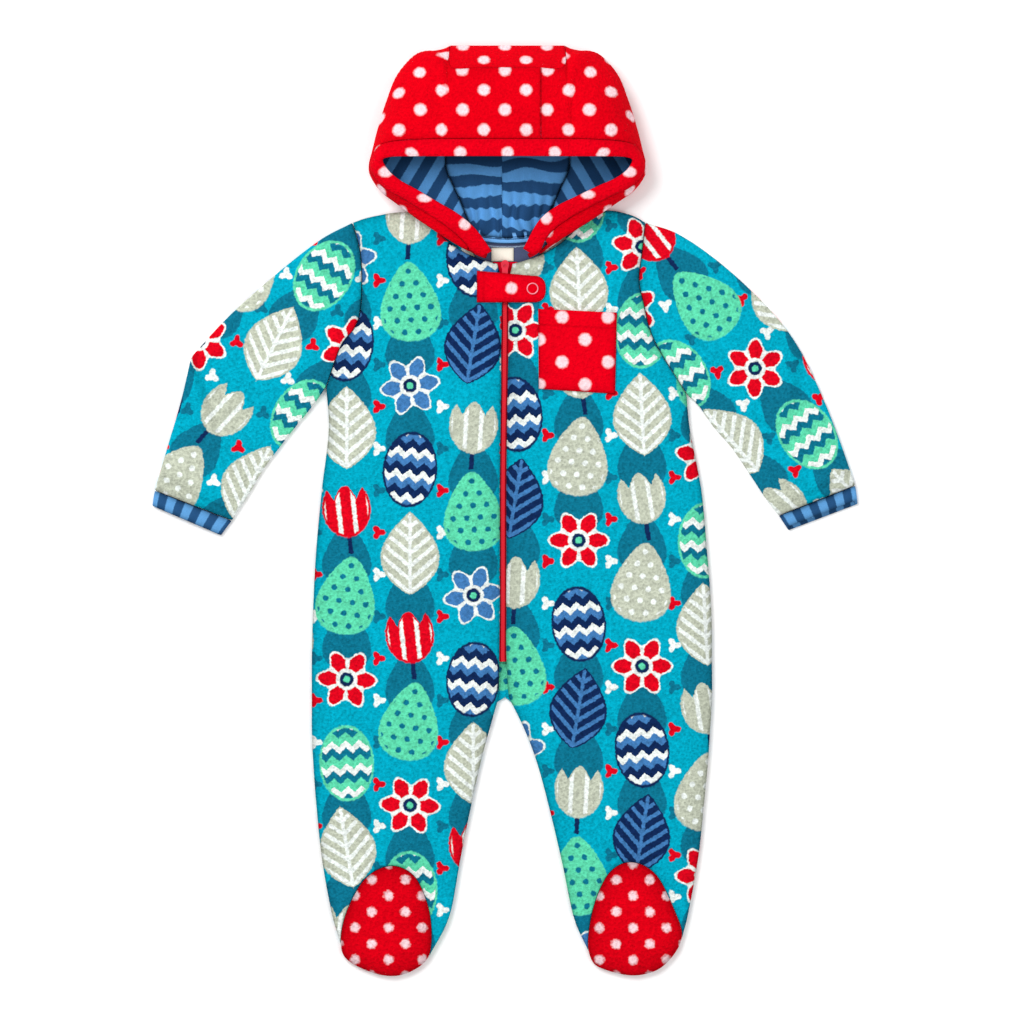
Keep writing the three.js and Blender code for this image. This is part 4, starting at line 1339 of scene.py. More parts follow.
@dataclass(frozen=True)
class Body:
    """Back panel and the two fronts, with stitching below the neck and puckers beside the zip."""

    front_step: float = 2.4
    front_across: int = 64
    back_step: float = 4.0
    back_across: int = 34
    back_print: tuple[float, float] = (31, 11)
    stitch_in: float = 16.0
    stitch_depth: float = 0.55
    stitch_width: float = 1.5
    stitch_end: float = 0.56
    stitch_fade: float = 0.125
    # Painted shade in the groove of the neck stitching: how dark and how wide
    stitch_shade: float = 0.9
    shade_width: float = 0.9
    facing_in: float = 7.0
    facing_width: float = 0.8
    facing_depth: float = 0.3
    pucker: float = 0.22
    pucker_length: float = 7.5
    pucker_in: float = 5.0
    pucker_width: float = 4.0

    def back_patch(self, half: Half) -> Patch:
        """Half of the back panel, flat on the surface.

        Args:
            half: The half of the suit.

        Returns:
            The patch, wound like the other half's.
        """
        down, across = lattice(body_rows(self.back_step), even(self.back_across))
        plan = body_plan(half, False, across, down)
        outer = with_height(plan, FLEECE)
        # Painted shade along the back's seams
        shade = seam_shade(border_distance(outer, "tbr"))
        patch = Patch(outer, with_height(plan, 0.0), plan + self.back_print, shade)
        return patch if half.sign > 0 else patch.flipped()

    def front_patch(self, half: Half) -> Patch:
        """A front, with its rise, folds, neck stitching and the puckers beside the zip.

        Args:
            half: The half of the suit.

        Returns:
            The patch.
        """
        down, across = lattice(body_rows(self.front_step), even(self.front_across))
        plan = body_plan(half, True, across, down)
        x, y = plan[..., 0], plan[..., 1]
        under = front_under(x, y)
        flat = with_height(plan, under)
        from_neck = border_distance(flat, "t") - self.stitch_in
        from_zip = border_distance(flat, "l")
        beside_zip = down < CROTCH
        neck_side = ease((self.stitch_end - across) / self.stitch_fade)
        groove = self.stitch_depth * bell(from_neck, self.stitch_width) * neck_side
        facing = self.facing_depth * bell(from_zip - self.facing_in, self.facing_width) * beside_zip
        waves = self.pucker * np.sin(2 * np.pi * y / self.pucker_length + half.sign)
        waves = waves * bell(from_zip - self.pucker_in, self.pucker_width) * beside_zip
        # Painted shade at the seams, in the neck stitching's groove, and in the groove beside the zip as deep
        # as that groove
        stitch_groove_shade = self.stitch_shade * bell(from_neck, self.shade_width) * neck_side
        shade = np.maximum(seam_shade(border_distance(flat, "tblr")), np.maximum(stitch_groove_shade, facing))
        outer = with_height(plan, under + FLEECE - groove - facing + waves)
        return Patch(outer, flat, plan + half.print_place, shade)

    def build(self, finish: bpy.types.Material) -> None:
        """Builds and dresses the three panels."""
        sew("back_panel", [self.back_patch(half) for half in HALVES], finish)
        for half in HALVES:
            sew("front_" + half.name, [self.front_patch(half)], finish)


CUFF_LENGTH = 14.0
SLEEVE_LONG = 230.0
RIB_WIDTH = 67.5


@dataclass(frozen=True)
class TubeForm:
    """A flattened tube of cloth between two folds."""

    wall: float
    rise: float
    around: int
    along: int
    rib: float = 0.0
    rib_period: float = 7.5

    def plan(self, half: Half, rows: Table, across: Array, down: Array, corners: Sequence[int]) -> Array:
        """Plan of the tube: straight from fold to fold, with its first rows on the armhole's curve.

        Args:
            half: The half of the suit.
            rows: The tube's table.
            across: Share of the way from the upper to the underarm fold.
            down: Row of the table.
            corners: Rows where the upper fold turns sharply.

        Returns:
            Points in plan.
        """
        x = mix(read(rows["top_x"], down, corners), read(rows["under_x"], down), across)
        y = mix(read(rows["top_y"], down, corners), read(rows["under_y"], down), across)
        if rows is half.sleeve:
            pull = (1 - np.clip(down / 2, 0, 1)) ** 2
            hole_x = read(half.body["out_x"], across * ARMPIT, [ARMPIT]) + half.sign * (GAP + 0.1)
            hole_y = read(half.body["out_y"], across * ARMPIT, [ARMPIT])
            x = x + pull * (hole_x - mix(rows["top_x"][0], rows["under_x"][0], across))
            y = y + pull * (hole_y - mix(rows["top_y"][0], rows["under_y"][0], across))
        return np.stack([x, y], axis=-1)

    def patch(self, half: Half, rows: Table, corners: Sequence[int] = ()) -> Patch:
        """The whole tube, from the upper fold over the top to the underarm fold and back below.

        The height over the fold follows a half circle as thick as the two layers, then the top rises
        towards the middle. The back layer of a cuff reaches past the front one where the mouth is open.

        Args:
            half: The half of the suit.
            rows: The tube's table.
            corners: Rows where the upper fold turns sharply.

        Returns:
            The patch, whose last column lies on its first.
        """
        last = len(rows["top_x"]) - 1
        side = dense_ends(self.around // 2 + 1)
        across_line = np.concatenate([side, side[-2::-1]])
        on_top = np.concatenate([np.ones(len(side)), -np.ones(len(side) - 1)])
        share, across = lattice(even(self.along), across_line)
        layer = np.broadcast_to(on_top, share.shape)
        down = share * last
        start = self.plan(half, rows, np.zeros_like(down), down, corners)
        end = self.plan(half, rows, np.ones_like(down), down, corners)
        width = np.linalg.norm(end - start, axis=-1)
        from_fold = np.minimum(across, 1 - across) * width
        middle = self.wall + GAP / 2
        round_fold = np.sqrt(1 - (1 - np.clip(from_fold / middle, 0, 1)) ** 2)
        top = np.where(layer > 0, 1.0, 0.0) * swell(from_fold / middle)
        back = (half.mouth_back / CUFF_LENGTH) * share * top * last if rows is half.cuff else 0.0
        plan = self.plan(half, rows, across, down - back, corners)
        inset = self.wall / width
        inner_across = mix(inset + 0.01, 1 - inset - 0.01, across)
        inner_plan = self.plan(half, rows, inner_across, down - back, corners)
        detail = self.detail(half, plan, share, width, across)
        risen = (self.rise * swell(from_fold / RISE_REACH) + detail) * top
        outer_z = middle + layer * middle * round_fold + risen
        inner_z = middle + layer * (GAP / 2) * round_fold + risen
        axis = unit(start[0, 0] + end[0, 0] - start[-1, 0] - end[-1, 0])
        aside = np.array([axis[1], -axis[0]])
        along = plan @ axis
        u = plan @ aside
        u = np.where(layer > 0, u, 2 * (end @ aside) - u)
        outer = with_height(plan, outer_z)
        # Painted shade along the tube's seamed ends
        shade = seam_shade(border_distance(outer, "tb"), wide=7)
        if self.rib:
            u = across * RIB_WIDTH
        else:
            # Painted shade in the elbow's crease and the hollow above the cuff
            shade = np.maximum(shade, self.crease(share, across, half) * top)
        return Patch(outer, with_height(inner_plan, inner_z), np.stack([u, along], axis=-1), shade)

    def crease(self, share: Array, across: Array, half: Half) -> Array:
        """Depth of the elbow's crease and of the hollow above the cuff, from 0 to 1, which also sets the
        painted shade in them.

        Args:
            share: Share of the way down the sleeve.
            across: Share of the way from the upper fold.
            half: The half of the suit.

        Returns:
            The depths.
        """
        most = 0.75 if half.sign < 0 else 0.35
        elbow = most * bell((share - 0.57 - 0.22 * across) * SLEEVE_LONG, 6) * (1 - ease(across / 0.8))
        return np.maximum(elbow, 0.4 * bell((share - 0.955) * SLEEVE_LONG, 4))

    def detail(self, half: Half, plan: Array, share: Array, width: Array, across: Array) -> Array:
        """Soft height of the top layer: ribs on a cuff, else creases at the elbow, armpit and cuff.

        Args:
            half: The half of the suit.
            plan: The tube's points in plan.
            share: Share of the way down the tube.
            width: Width from fold to fold.
            across: Share of the way from the upper fold.

        Returns:
            The heights in millimetres.
        """
        x, y = plan[..., 0], plan[..., 1]
        if self.rib:
            return self.rib * np.cos(2 * np.pi * across * RIB_WIDTH / self.rib_period)
        height = 0.3 * ripple(x, y, 60, 1.3 + half.sign) + 0.12 * ripple(x, y, 24, 0.4)
        height = height - 2.2 * self.crease(share, across, half)
        ridge = bell((share - 0.50 - 0.2 * across) * SLEEVE_LONG, 9)
        height = height + ridge * (1 - ease(across / 0.75))
        pucker = 0.3 * np.sin(2 * np.pi * across * width / 9) * bell((share - 1) * SLEEVE_LONG, 12)
        return height + pucker


SLEEVE_FORM = TubeForm(wall=FLEECE, rise=SLEEVE_RISE, around=140, along=110)
CUFF_FORM = TubeForm(wall=1.6, rise=1.2, around=140, along=14, rib=0.2)


@dataclass(frozen=True)
class Arms:
    """Sleeves and their cuffs."""

    sleeve: TubeForm = SLEEVE_FORM
    cuff: TubeForm = CUFF_FORM

    def build(self, print_finish: bpy.types.Material, rib_finish: bpy.types.Material) -> None:
        """Builds and dresses both sleeves and both cuffs.

        Args:
            print_finish: Finish of the sleeves.
            rib_finish: Finish of the cuffs.
        """
        for half in HALVES:
            sleeve = self.sleeve.patch(half, half.sleeve, half.elbow)
            sew("sleeve_" + half.name, [sleeve], print_finish)
            sew("cuff_" + half.name, [self.cuff.patch(half, half.cuff)], rib_finish)


@dataclass(frozen=True)
class Feet:
    """Foot tops and soles."""

    around: int = 120
    rings: int = 34
    dome: float = 0.5
    dome_power: float = 4
    puff: float = 1.6
    puff_power: float = 2.5
    ditch_shade: float = 0.8
    ditch_width: float = 2.2
    rim_shade: float = 0.5
    rim_width: float = 12.0

    def patch(self, half: Half, is_top: bool) -> Patch:
        """Rings from the foot's middle to its outline; the top is domed and puffed by powers of the reach.

        Args:
            half: The half of the suit.
            is_top: True for the foot's top, and False for its sole.

        Returns:
            The patch.
        """
        out, place = lattice(even(self.rings), np.linspace(0, len(half.foot["x"]), self.around + 1))
        reach = swell(out)
        middle = half.foot_middle()
        plan = middle + (half.foot_edge(place, 0) - middle) * reach[..., None]
        under = np.zeros_like(out)
        if is_top:
            under = front_under(plan[..., 0], plan[..., 1]) + self.dome * (1 - reach**self.dome_power)
            under = under + self.puff * (1 - reach**self.puff_power)
        outer = with_height(plan, under + FLEECE)
        distance = border_distance(outer, "b")
        # Painted shade: darker in the seam's ditch round the outline and fading in from the rim, where the
        # puffed top curves down
        shade = self.ditch_shade * bell(distance, self.ditch_width)
        shade = np.clip(shade + self.rim_shade * bell(distance, self.rim_width), 0, 1)
        return Patch(outer, with_height(plan, under), plan - middle, shade)

    def build(self, finish: bpy.types.Material) -> None:
        """Builds and dresses both feet."""
        for half in HALVES:
            sole = "sole_" + half.name
            sew("vamp_" + half.name, [self.patch(half, True)], finish)
            sew(sole, [self.patch(half, False)], finish)


@dataclass(frozen=True)
class Zip:
    """Tapes and coil of the closed zip, and the finishes of its slider and pull."""

    top: float = 199.6
    end: float = -120.0
    tape_rows: int = 120
    tape_across: int = 8
    tape_width: float = 10.0
    slack: float = 0.3
    level_from: float = 190.0
    coil_rows: int = 1560
    coil_across: int = 13
    coil_width: float = 3.4
    coil_height: float = 1.7
    coil_top: float = 192.7
    coil_beside: float = 2.0
    coil_round: float = 1.6
    tooth: float = 1.6
    tooth_depth: float = 0.18
    ditch_depth: float = 0.25
    ditch_width: float = 0.35
    edge_shade: float = 0.7
    edge_width: float = 0.9

    def tape_patch(self, half: Half) -> Patch:
        """One tape, under its front.

        Args:
            half: The half of the suit.

        Returns:
            The patch.
        """
        down, across = lattice(even(self.tape_rows), even(self.tape_across))
        y = mix(self.top, self.end, down)
        x = zip_centre(y) + half.sign * mix(GAP / 2, self.tape_width, across)
        top = front_under(x, np.minimum(y, self.level_from)) - GAP - self.slack
        plan = np.stack([x, y], axis=-1)
        return Patch(with_height(plan, top), with_height(plan, top - TAPE), plan, np.zeros_like(x))

    def coil_patch(self) -> Patch:
        """Both rows of coils, closed: an arch whose height waves along each row, half a tooth apart.

        Returns:
            The patch.
        """
        down, across = lattice(even(self.coil_rows), even(self.coil_across))
        y = mix(self.coil_top, self.end, down)
        centre = zip_centre(y)
        aside = across - 0.5
        x = centre + self.coil_width * aside
        beside = self.coil_beside
        under = np.maximum(front_under(centre - beside, y), front_under(centre + beside, y))
        arch = np.sqrt(1 - (self.coil_round * aside) ** 2)
        row = np.where(aside < 0, 0.0, np.pi)
        tooth = 1 - self.tooth_depth + self.tooth_depth * np.cos(2 * np.pi * y / self.tooth + row)
        ditch = 1 - self.ditch_depth * bell(aside * self.coil_width, self.ditch_width)
        plan = np.stack([x, y], axis=-1)
        outer = with_height(plan, under + self.coil_height * arch * tooth * ditch)
        # Painted shade along the coil's sides, where it meets the fronts
        shade = np.clip(self.edge_shade * bell(border_distance(outer, "lr"), self.edge_width), 0, 1)
        return Patch(outer, with_height(plan, under), plan, shade)

    def build(
        self, cloth: bpy.types.Material, plastic: bpy.types.Material, gloss: bpy.types.Material
    ) -> None:
        """Builds and dresses the zip, and gives the slider's and pull's solids their finish.

        Args:
            cloth: Finish of the tapes.
            plastic: Finish of the coil.
            gloss: Finish of the slider and the pull.
        """
        for half in HALVES:
            tape = [self.tape_patch(half)]
            sew("zip_tape_" + half.name, tape, cloth, edge=0.2)
        sew("zip_coil", [self.coil_patch()], plastic, edge=0.05, kind="teeth")
        for node in ("zip_slider", "zip_pull"):
            dress_solid(node, gloss)


def dress_solid(node: str, material: bpy.types.Material) -> None:
    """Gives a solid that stays its finish.

    Args:
        node: The solid's name.
        material: The finish.
    """
    solid = bpy.data.objects[node]
    solid.data.materials.clear()
    solid.data.materials.append(material)


@dataclass(frozen=True)
class ChinTab:
    """The tab over the zip's top, with its ring fastener."""

    left: float = -22.5
    bend: float = 22.0
    right: float = 32.5
    top_left: float = 192.5
    top_right: float = 188.5
    low: float = 167.2
    squareness: float = 2.6
    edge_thickness: float = 0.6
    soft_edge: float = 4.0
    end_power: float = 1.5
    groove_in: float = 5.6
    groove_depth: float = 0.45
    groove_shade: float = 0.4
    dimple: float = 0.3
    dimple_radius: float = 6.0
    dimple_width: float = 2.2
    pull_height: float = 2.1
    pull_half_width: float = 3.0
    pull_fade: float = 9.0
    ring_x: float = 22.0
    ring_y: float = 178.2
    ring_outer: float = 4.75
    ring_inner: float = 3.75
    ring_height: float = 0.8
    ring_side: float = 0.55

    def plan(self, across: Array, down: Array) -> Array:
        """Plan of the tab: straight at its left end and rounded as a squarish oval at its right.

        Args:
            across: Share of the way from left to right.
            down: Share of the way from top to foot.

        Returns:
            Points in plan.
        """
        x = mix(self.left, self.right, 1 - (1 - across) ** self.end_power)
        past = np.clip((x - self.bend) / (self.right - self.bend), 0, 1)
        opening = (1 - past**self.squareness) ** (1 / self.squareness)
        slope = np.clip((x - self.left) / (self.bend - self.left), 0, 1)
        high = mix(self.top_left, self.top_right, slope)
        y = (high + self.low) / 2 + (high - self.low) * opening * (0.5 - down)
        return np.stack([x, y], axis=-1)

    def under(self, plan: Array) -> Array:
        """Height of the tab's underside: over the fronts, and higher over the pull."""
        past = np.clip((np.abs(plan[..., 0]) - self.pull_half_width) / self.pull_fade, 0, 1)
        over_pull = self.pull_height * (1 - past) ** 1.5
        return front_top(plan[..., 0], plan[..., 1]) + GAP + over_pull

    def patch(self) -> Patch:
        """The whole tab, with a soft edge, a groove beside its left seam and a dimple round the ring.

        Returns:
            The patch.
        """
        down, across = lattice(even(60), even(110))
        plan = self.plan(across, down)
        under = self.under(plan)
        flat = with_height(plan, under)
        edge = border_distance(flat, "tblr")
        from_groove = plan[..., 0] - self.left - self.groove_in
        from_ring = np.hypot(plan[..., 0] - self.ring_x, plan[..., 1] - self.ring_y)
        thick = FLEECE * mix(self.edge_thickness, 1, swell(edge / self.soft_edge))
        thick = thick - self.groove_depth * bell(from_groove, 0.8)
        thick = thick - self.dimple * bell(from_ring - self.dimple_radius, self.dimple_width)
        # Painted shade along the tab's seams and in the groove beside its left seam
        shade = seam_shade(edge, wide=4, narrow=1.2) + self.groove_shade * bell(from_groove, 0.9)
        return Patch(with_height(plan, under + thick), flat, plan, np.clip(shade, 0, 1))

    def ring_patch(self) -> Patch:
        """The ring on the tab: its top is rounded across.

        Returns:
            The patch.
        """
        out, turn = lattice(even(7), 2 * np.pi * even(65))
        radius = mix(self.ring_inner, self.ring_outer, out)
        plan = np.stack([self.ring_x + radius * np.cos(turn), self.ring_y + radius * np.sin(turn)], axis=-1)
        floor = front_top(np.array(self.ring_x), np.array(self.ring_y)) + 2 * GAP + FLEECE
        arch = np.sqrt(np.clip(1 - (2 * out - 1) ** 2, 0, 1))
        height = self.ring_height * mix(self.ring_side, 1, arch)
        return Patch(with_height(plan, floor + height), with_height(plan, floor), plan, np.zeros_like(out))

    def build(self, cloth: bpy.types.Material, metal: bpy.types.Material) -> None:
        """Builds and dresses the tab and its ring.

        Args:
            cloth: Finish of the tab.
            metal: Finish of the ring.
        """
        sew("chin_tab", [self.patch()], cloth)
        sew("snap_ring", [self.ring_patch()], metal, edge=0.1, kind="metal")


@dataclass(frozen=True)
class Pocket:
    """The patch pocket on the wearer's left chest."""

    top_left: tuple[float, float] = (26.5, 162.0)
    top_right: tuple[float, float] = (89.5, 159.0)
    low_right: tuple[float, float] = (88.0, 94.0)
    low_left: tuple[float, float] = (27.0, 98.0)
    hem: float = 13.0
    hem_height: float = 0.5
    edge_thickness: float = 0.6
    soft_edge: float = 5.0
    open_edge: float = 2.0
    hem_fade: float = 2.0
    groove_depth: float = 0.45
    groove_width: float = 1.0
    groove_shade: float = 0.22

    def patch(self) -> Patch:
        """The pocket over the front: soft sewn edges, and a thicker hem with a groove along its stitching.

        Returns:
            The patch.
        """
        down, across = lattice(even(90), even(88))
        top = mix(np.array(self.top_left), np.array(self.top_right), across[..., None])
        low = mix(np.array(self.low_left), np.array(self.low_right), across[..., None])
        plan = mix(top, low, down[..., None])
        under = front_top(plan[..., 0], plan[..., 1]) + GAP
        flat = with_height(plan, under)
        sewn = border_distance(flat, "blr")
        from_top = border_distance(flat, "t")
        from_stitch = from_top - self.hem
        soft = swell(np.minimum(sewn, from_top + self.open_edge) / self.soft_edge)
        thick = FLEECE * mix(self.edge_thickness, 1, soft)
        thick = thick + self.hem_height * ease(-from_stitch / self.hem_fade + 0.5)
        thick = thick - self.groove_depth * bell(from_stitch, self.groove_width)
        # Painted shade along the sewn edges and in the groove of the hem's stitching
        shade = seam_shade(sewn, wide=4, narrow=1.3) + self.groove_shade * bell(from_stitch, 0.9)
        return Patch(with_height(plan, under + thick), flat, plan, np.clip(shade, 0, 1))

    def build(self, cloth: bpy.types.Material) -> None:
        """Builds and dresses the pocket."""
        sew("pocket", [self.patch()], cloth)


NAPE_ROW = 6
CORNER_ROW = 14
CENTRE_ROW = 16
BAND_WIDTH = 14.0
HOOD_JOIN = 0.12
LINING_GAP = 0.5
GUSSET_REACH = 12.0
CROWN_SEAM = 17.2
CROWN_GAP = 0.004
FIRST_SIDE_ROW = 0.8
FIRST_LINING_ROW = 1.2
NAPE_DIP = 3.5
NECK_SHARE = 0.88
# Where the brim lies, and its painted shadow on the lining: how dark and how far it reaches
BRIM_Y = 283.0
BRIM_SHADOW_DARKNESS = 0.62
BRIM_SHADOW_REACH = 13.0
CURVE_STEPS = 40

# A short step along the rim and along a line, for directions on the hood
RIM_STEP = 0.05
LINE_STEP = 0.01


@dataclass(frozen=True)
class Layer:
    """How far the two faces of a layer of the hood lie out from its lines."""

    out: float
    under: float


SHELL = Layer(FLEECE, 0.0)
LINING = Layer(-LINING_GAP, -LINING_GAP - JERSEY)


class HoodForm:
    """The hood's lines from the rim over the fold to the seam, and all places on them."""

    def __init__(self) -> None:
        """Lists the lines of both sides in one row, the wearer's right first."""
        right = self._lines(-1)
        left = self._lines(1)
        self.rows = np.concatenate([right, left[:CENTRE_ROW][::-1]])
        self.last = len(self.rows) - 1

    def _lines(self, sign: int) -> Array:
        """The points that each line of one side passes: rim, top, fold, turn, floor, middle and end.

        Args:
            sign: 1 for the wearer's left and -1 for the right.

        Returns:
            Points as rows, seven points and x, y, z.
        """
        lift = HOOD["lift"] if sign > 0 else np.zeros_like(HOOD["lift"])
        roll = HOOD["roll"]
        rim, fold, end = (
            np.stack([HOOD[name + axis] for axis in ("_x", "_y", "_z")], axis=-1)
            for name in ("rim", "fold", "end")
        )
        rim[:, 1] += lift
        fold[:, 1] += lift * 0.5
        reach = np.hypot(end[:, 0] - fold[:, 0], end[:, 1] - fold[:, 1])
        top = mix(rim, fold, 0.6)
        top[:, 2] = mix(rim[:, 2], fold[:, 2], mix(0.55, 0.2, roll))
        turn = mix(fold, end, mix(1 / 3, np.minimum(4 / reach, 1 / 3), roll)[:, None])
        turn[:, 2] = mix(turn[:, 2], mix(fold[:, 2], end[:, 2], 0.75), roll)
        floor = mix(fold, end, mix(2 / 3, np.minimum(13 / reach, 2 / 3), roll)[:, None])
        floor[:, 2] = mix(floor[:, 2], end[:, 2], roll)
        middle = mix(floor, end, 0.5)
        middle[:, 1] += HOOD["bow"]
        points = np.stack([rim, top, fold, turn, floor, middle, end], axis=1)
        points[..., 0] = HOOD_CENTRE + sign * points[..., 0]
        return points

    def curves(self, place: Array) -> tuple[Array, Array]:
        """The lines at places between rows, as curves whose knots are spaced by the root of each step.

        Args:
            place: Places along the rim, in one row.

        Returns:
            Points along each curve, and the way along the curve to each of them.
        """
        knots = read(self.rows, place)
        first = 2 * knots[:, :1] - knots[:, 1:2]
        final = 2 * knots[:, -1:] - knots[:, -2:-1]
        padded = np.concatenate([first, knots, final], axis=1)
        step = np.maximum(np.linalg.norm(np.diff(padded, axis=1), axis=-1, keepdims=True) ** 0.5, 1e-4)
        before, here, after = step[:, :-2], step[:, 1:-1], step[:, 2:]
        p0, p1, p2, p3 = padded[:, :-3], padded[:, 1:-2], padded[:, 2:-1], padded[:, 3:]
        leave = ((p1 - p0) / before - (p2 - p0) / (before + here) + (p2 - p1) / here) * here
        arrive = ((p2 - p1) / here - (p3 - p1) / (here + after) + (p3 - p2) / after) * here
        t = np.linspace(0, 1, CURVE_STEPS, endpoint=False)[None, None, :, None]
        p1, p2, leave, arrive = (value[:, :, None] for value in (p1, p2, leave, arrive))
        bend = 3 * (p2 - p1) - 2 * leave - arrive
        twist = 2 * (p1 - p2) + leave + arrive
        points = p1 + leave * t + bend * t**2 + twist * t**3
        points = points.reshape(len(place), -1, 3)
        points = np.concatenate([points, knots[:, -1:]], axis=1)
        way = np.cumsum(np.linalg.norm(np.diff(points, axis=1), axis=-1), axis=1)
        return points, np.pad(way, [(0, 0), (1, 0)])

    def length(self, place: Array) -> Array:
        """Length of the line at each place."""
        return self.curves(place)[1][:, -1]

    def point(self, place: Array, share: Array) -> Array:
        """Points on the lines, never below the back panel's top.

        Args:
            place: Places along the rim, in one row.
            share: Shares of each line's length, as one row for each place.

        Returns:
            Points as places, shares and x, y, z.
        """
        points, way = self.curves(place)
        rank = 2.0 * np.arange(len(place))[:, None]
        known = (way / way[:, -1:] + rank).ravel()
        wanted = np.clip(share, 0, 1) + rank
        found = np.stack([np.interp(wanted, known, points[..., axis].ravel()) for axis in range(3)], axis=-1)
        found[..., 2] = np.maximum(found[..., 2], FLEECE)
        return found

    def near(self, place: Array) -> Array:
        """Each place as the row of its own side."""
        return np.minimum(place, self.last - place)

    def outward(self, place: Array, share: Array) -> Array:
        """Which way is out of the hood, from two short steps over it.

        Next to the neck seam, which turns back on itself at the shoulders, the direction is taken a little
        way in from the seam.

        Args:
            place: Places along the rim.
            share: Shares of each line's length.

        Returns:
            Directions one long.
        """
        at = np.where((self.near(place) < NAPE_ROW)[:, None], np.minimum(share, NECK_SHARE), share)
        sideways = self.point(np.minimum(place + RIM_STEP, self.last), at)
        sideways = sideways - self.point(np.maximum(place - RIM_STEP, 0), at)
        inward = self.point(place, np.minimum(at + LINE_STEP, 1))
        inward = inward - self.point(place, np.maximum(at - LINE_STEP, 0))
        return unit(np.cross(sideways, inward))

    def gusset_outward(self, place: Array) -> Array:
        """Which way is out of the gusset at each place along its edge."""
        end = np.ones((len(place), 1))
        ahead = self.point(np.minimum(place + RIM_STEP, CORNER_ROW), end)[:, 0]
        ahead = ahead - self.point(np.maximum(place - RIM_STEP, NAPE_ROW), end)[:, 0]
        return unit(np.stack([np.zeros(len(place)), ahead[:, 2], -ahead[:, 1]], axis=-1))

    def side_outward(self, place: Array, share: Array) -> Array:
        """Which way is out of a side, turned to the gusset's direction next to it."""
        near = self.near(place)
        away = (1 - share) * self.length(place)[:, None]
        pull = np.where((near >= NAPE_ROW)[:, None], 1 - np.clip(away / GUSSET_REACH, 0, 1), 0)
        out = self.outward(place, share)
        gusset = self.gusset_outward(np.clip(near, NAPE_ROW, CORNER_ROW))[:, None]
        return unit(mix(out, gusset, pull[..., None]))

    def beside_gusset(self, points: Array, place: Array) -> Array:
        """Keeps a side's points out past the gusset's edge."""
        near = self.near(place)
        edge = self.point(place, np.ones((len(place), 1)))[..., 0] - HOOD_CENTRE
        least = np.abs(edge) + HOOD_JOIN
        kept = HOOD_CENTRE + np.sign(edge) * np.maximum(np.abs(points[..., 0] - HOOD_CENTRE), least)
        inside = ((near >= NAPE_ROW) & (near <= CORNER_ROW))[:, None]
        moved = points.copy()
        moved[..., 0] = np.where(inside, kept, points[..., 0])
        return moved

    def band_share(self, place: Array) -> Array:
        """The band's share of each line."""
        long = self.length(place)
        return np.minimum(BAND_WIDTH, long - 1.5) / long

    def rim_pattern(self, place: Array, share: Array) -> Array:
        """Places on the flat cloth: straight on from the rim towards the fold, as far as the line is long."""
        knots = read(self.rows, place)
        way = unit(knots[:, 2, :2] - knots[:, 0, :2])
        reach = share * self.length(place)[:, None]
        return knots[:, None, 0, :2] + way[:, None] * reach[..., None]


def brim_shade(y: Array) -> Array:
    """Painted shadow of the brim: how much it darkens the lining next to it."""
    return BRIM_SHADOW_DARKNESS * (1 - ease((BRIM_Y - y) / BRIM_SHADOW_REACH))


